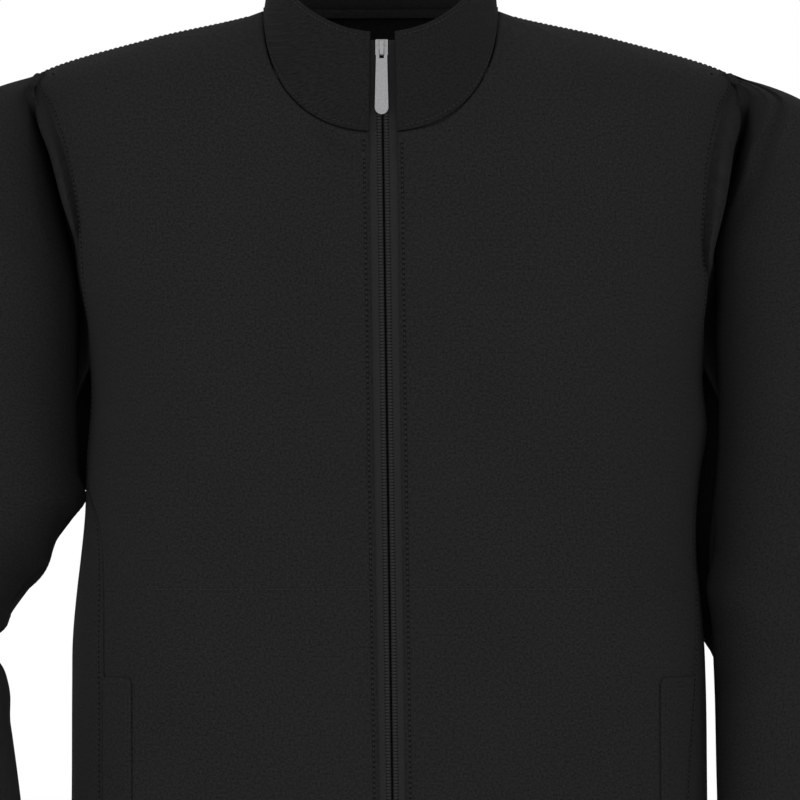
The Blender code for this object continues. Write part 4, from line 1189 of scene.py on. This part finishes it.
def vary(tree, shade, colour, source, low, high):
    """The base colour, darker and lighter with a pattern between two factors."""
    spread = node(tree, "ShaderNodeMapRange", To_Min=low, To_Max=high, **PATTERN_RANGE)
    tint = tree.nodes.new("ShaderNodeVectorMath")
    tint.operation = "SCALE"
    tint.inputs[0].default_value = colour
    tree.links.new(source, spread.inputs["Value"])
    tree.links.new(spread.outputs["Result"], tint.inputs["Scale"])
    tree.links.new(tint.outputs["Vector"], shade.inputs["Base Color"])


def woven(name, colour, grain, rib, high, contrast, roughness=0.95, specular=0.06):
    """Woven cloth: a grain of threads, ribs across and along, and a slow unevenness."""
    material, tree, shade = shader(name, colour, roughness, specular, sheen=SHEEN)
    place = tree.nodes.new("ShaderNodeTexCoord").outputs["UV"]
    threads = node(tree, "ShaderNodeTexNoise", Scale=grain, Detail=2.0, Roughness=0.6)
    slow = node(tree, "ShaderNodeTexNoise", Scale=SLOW_GRAIN, Detail=3.0)
    tree.links.new(place, threads.inputs["Vector"])
    tree.links.new(place, slow.inputs["Vector"])
    both = tree.nodes.new("ShaderNodeMath")
    both.operation = "MULTIPLY_ADD"
    both.inputs[1].default_value = SLOW_SHARE
    tree.links.new(slow.outputs["Fac"], both.inputs[0])
    tree.links.new(threads.outputs["Fac"], both.inputs[2])
    vary(tree, shade, colour, both.outputs["Value"], 1 - contrast, 1 + contrast)
    height = threads.outputs["Fac"]
    for direction in ("X", "Y"):
        wave = node(tree, "ShaderNodeTexWave", Scale=rib, Distortion=0.8, Detail=1.0, Detail_Scale=2.0)
        wave.bands_direction = direction
        tree.links.new(place, wave.inputs["Vector"])
        add_up = tree.nodes.new("ShaderNodeMath")
        tree.links.new(height, add_up.inputs[0])
        tree.links.new(wave.outputs["Fac"], add_up.inputs[1])
        height = add_up.outputs["Value"]
    bump = node(tree, "ShaderNodeBump", Distance=high)
    tree.links.new(height, bump.inputs["Height"])
    tree.links.new(bump.outputs["Normal"], shade.inputs["Normal"])
    return material


def satin_metal(name, colour):
    """Die-cast metal with fine brush marks and slight tarnish."""
    material, tree, shade = shader(name, colour, **METAL_FINISH)
    place = tree.nodes.new("ShaderNodeTexCoord").outputs["Object"]
    marks = node(tree, "ShaderNodeTexNoise", Scale=BRUSH_GRAIN, Detail=3.0)
    tree.links.new(place, marks.inputs["Vector"])
    vary(tree, shade, colour, marks.outputs["Fac"], *BRUSH_SHADES)
    rough = node(tree, "ShaderNodeMapRange", **BRUSH_ROUGHNESS)
    tree.links.new(marks.outputs["Fac"], rough.inputs["Value"])
    tree.links.new(rough.outputs["Result"], shade.inputs["Roughness"])
    bump = node(tree, "ShaderNodeBump", Distance=BRUSH_HIGH)
    tree.links.new(marks.outputs["Fac"], bump.inputs["Height"])
    tree.links.new(bump.outputs["Normal"], shade.inputs["Normal"])
    return material


def thread(name, colour):
    """Stitching thread, with the twist of its plies. The same material makes the small marks of painted
    shade and painted highlight, and the coil.
    """
    material, tree, shade = shader(name, colour, **THREAD_FINISH)
    place = tree.nodes.new("ShaderNodeTexCoord").outputs["Object"]
    twist = node(tree, "ShaderNodeTexNoise", Scale=TWIST_GRAIN, Detail=1.0)
    tree.links.new(place, twist.inputs["Vector"])
    vary(tree, shade, colour, twist.outputs["Fac"], *TWIST_SHADES)
    return material


def sky():
    """A white background for the camera, and a weaker light from all round for the jacket."""
    world = bpy.data.worlds.new("studio")
    bpy.context.scene.world = world
    world.use_nodes = True
    tree = world.node_tree
    light = tree.nodes["Background"]
    light.inputs["Color"].default_value = (1, 1, 1, 1)
    light.inputs["Strength"].default_value = AMBIENT
    seen = node(tree, "ShaderNodeBackground", Color=(1, 1, 1, 1), Strength=1.0)
    path = tree.nodes.new("ShaderNodeLightPath")
    mix = tree.nodes.new("ShaderNodeMixShader")
    tree.links.new(path.outputs["Is Camera Ray"], mix.inputs[0])
    tree.links.new(light.outputs[0], mix.inputs[1])
    tree.links.new(seen.outputs[0], mix.inputs[2])
    tree.links.new(mix.outputs[0], tree.nodes["World Output"].inputs["Surface"])


def softbox(name, place, size, power):
    """A rectangular light that faces the jacket's middle."""
    light = bpy.data.lights.new(name, "AREA")
    light.shape = "RECTANGLE"
    light.size, light.size_y = size
    light.energy = power
    lamp = bpy.data.objects.new(name, light)
    bpy.context.scene.collection.objects.link(lamp)
    lamp.location = place
    away = [a - b for a, b in zip(place, LIGHT_AIM)]
    lamp.rotation_euler = Vector(away).to_track_quat("Z", "Y").to_euler()


def floor():
    """A pale floor some way below the jacket."""
    mesh = bpy.data.meshes.new("floor")
    far = FLOOR_HALF
    corners = [(-far, -far, FLOOR_Z), (far, -far, FLOOR_Z), (far, far, FLOOR_Z), (-far, far, FLOOR_Z)]
    mesh.from_pydata(corners, [], [(0, 1, 2, 3)])
    material, _, _ = shader("pale_floor", FLOOR_COLOUR, **FLOOR_FINISH)
    add("floor", mesh, material)


def camera():
    """A long lens in front of the jacket, on the photo's frame."""
    data = bpy.data.cameras.new("camera")
    data.sensor_width = SENSOR
    data.lens = SENSOR * VIEW_FAR / VIEW_WIDE
    data.clip_end = 4 * VIEW_FAR
    eye = bpy.data.objects.new("camera", data)
    bpy.context.scene.collection.objects.link(eye)
    eye.location = (VIEW_X, -VIEW_FAR, VIEW_Z)
    eye.rotation_euler = (math.pi / 2, 0, 0)
    bpy.context.scene.camera = eye


def dress_nodes(nodes, metal):
    """The zip's metal parts, in their own solids."""
    for name in ("zip_slider", "zip_box", "pull_tab"):
        nodes[name].data.materials.clear()
        nodes[name].data.materials.append(metal)


def sew(shell_cloth, collar_cloth, tape_cloth):
    """All sheets of cloth, the rows of stitches that lie on them, and near-black marks of painted shade in
    their needle holes.
    """
    rows, hole_shade_rows = [], []
    for side, hand in ((-1, "right"), (1, "left")):
        around = [f"front_{hand}_cloth", "back_cloth"]
        front, panel, tube = front_panel(side), side_panel(side), sleeve(side)
        strip, lip = zip_tape(side), welt(side)
        pieces = (
            (f"front_{hand}", front, shell_cloth, WALL, False, False, ["back_cloth"]),
            (f"side_panel_{hand}", panel, shell_cloth, WALL, False, False, around),
            (f"sleeve_{hand}", tube, shell_cloth, WALL, False, True, around),
            (f"zip_tape_{hand}", strip, tape_cloth, TAPE_WALL, False, False, [f"front_{hand}_cloth"]),
            (f"pocket_welt_{hand}", lip, shell_cloth, WELT_WALL, True, False, [f"front_{hand}_cloth"]),
        )
        for piece in pieces:
            sheet(*piece)
        lines = [zip_side_line(side), *armhole_lines(side), *side_seam_lines(side)]
        rows += [body_row(line) for line in lines]
        hole_shade_rows += [body_row(line, HOLE_SHADE_FORM) for line in lines]
        rows += shoulder_row(side) + cuff_row(tube) + welt_rows(side, lip)
    sheet("back", back_panel(), shell_cloth, WALL, False, False, ["front_left_cloth", "front_right_cloth"])
    neck = collar_grid()
    sheet("collar", neck, collar_cloth, COLLAR_WALL, False, False, ["back_cloth"])
    shown = neck[:, NECK_END:-NECK_END]
    rows += hem_row() + [grid_row(shown, ALLOWANCE_ROWS + 1), grid_row(shown, -2)]
    return rows, hole_shade_rows


def sheet(name, grid, material, wall, outward, tube, rests):
    """A sheet of cloth, thickened outward or inward, a closed tube or not."""
    piece = cloth(name, grid, material, wall, outward, tube)


def build():
    """The whole picture."""
    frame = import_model()
    sky()
    floor()
    softbox("key", KEY_PLACE, KEY_SIZE, KEY_POWER)
    for side in (-1, 1):
        softbox("fill", (side * FILL_PLACE[0], *FILL_PLACE[1:]), FILL_SIZE, FILL_POWER)
    camera()
    bpy.context.scene.view_settings.view_transform = "Standard"
    face = woven("softshell_face", CLOTH_COLOUR, **SHELL_WEAVE)
    # Collar cloth in a darker colour: painted shade
    neck = woven("collar_face_painted_shade", COLLAR_PAINTED_SHADE_COLOUR, **SHELL_WEAVE)
    tape = woven("tape_weave", TAPE_COLOUR, **TAPE_WEAVE, roughness=0.80, specular=0.10)
    dress_nodes(frame["nodes"], satin_metal("satin_metal", METAL_COLOUR))
    rows, hole_shade_rows = sew(face, neck, tape)
    # Painted shade: near-black marks in the needle holes
    rows_of_stitches("needle_hole_painted_shade", hole_shade_rows, thread("hole_shade", HOLE_SHADE_AND_COIL_COLOUR))
    # Topstitches lighter than the cloth: painted highlight on the thread
    rows_of_stitches("topstitches", rows, thread("dark_thread_painted_highlight", THREAD_AND_HIGHLIGHT_COLOUR))
    # Bag stitches lighter than the cloth: painted highlight on the thread
    rows_of_stitches("bag_stitches", bag_rows(), thread("bag_thread_painted_highlight", BAG_THREAD_AND_HIGHLIGHT_COLOUR))
    # Painted shade: dark marks where the coil's thread dips
    marks = zip_rows(COIL_MARK, COIL_THREAD_LIFT, MARK_FORM)
    rows_of_stitches("coil_painted_shade_marks", marks, thread("coil_thread_dip_shade", COIL_DIP_SHADE_COLOUR))
    # Painted highlight: lighter beads on the coil's rungs
    beads = zip_rows(COIL_MARK, COIL_THREAD_LIFT, BEAD_FORM)
    rows_of_stitches("coil_painted_highlight_beads", beads, thread("coil_edge_painted_highlight", COIL_HIGHLIGHT_COLOUR))
    coil = zip_rows(COIL_X, COIL_LIFT, COIL_FORM)
    rows_of_stitches("coil", coil, thread("coil_plastic", HOLE_SHADE_AND_COIL_COLOUR))


build()
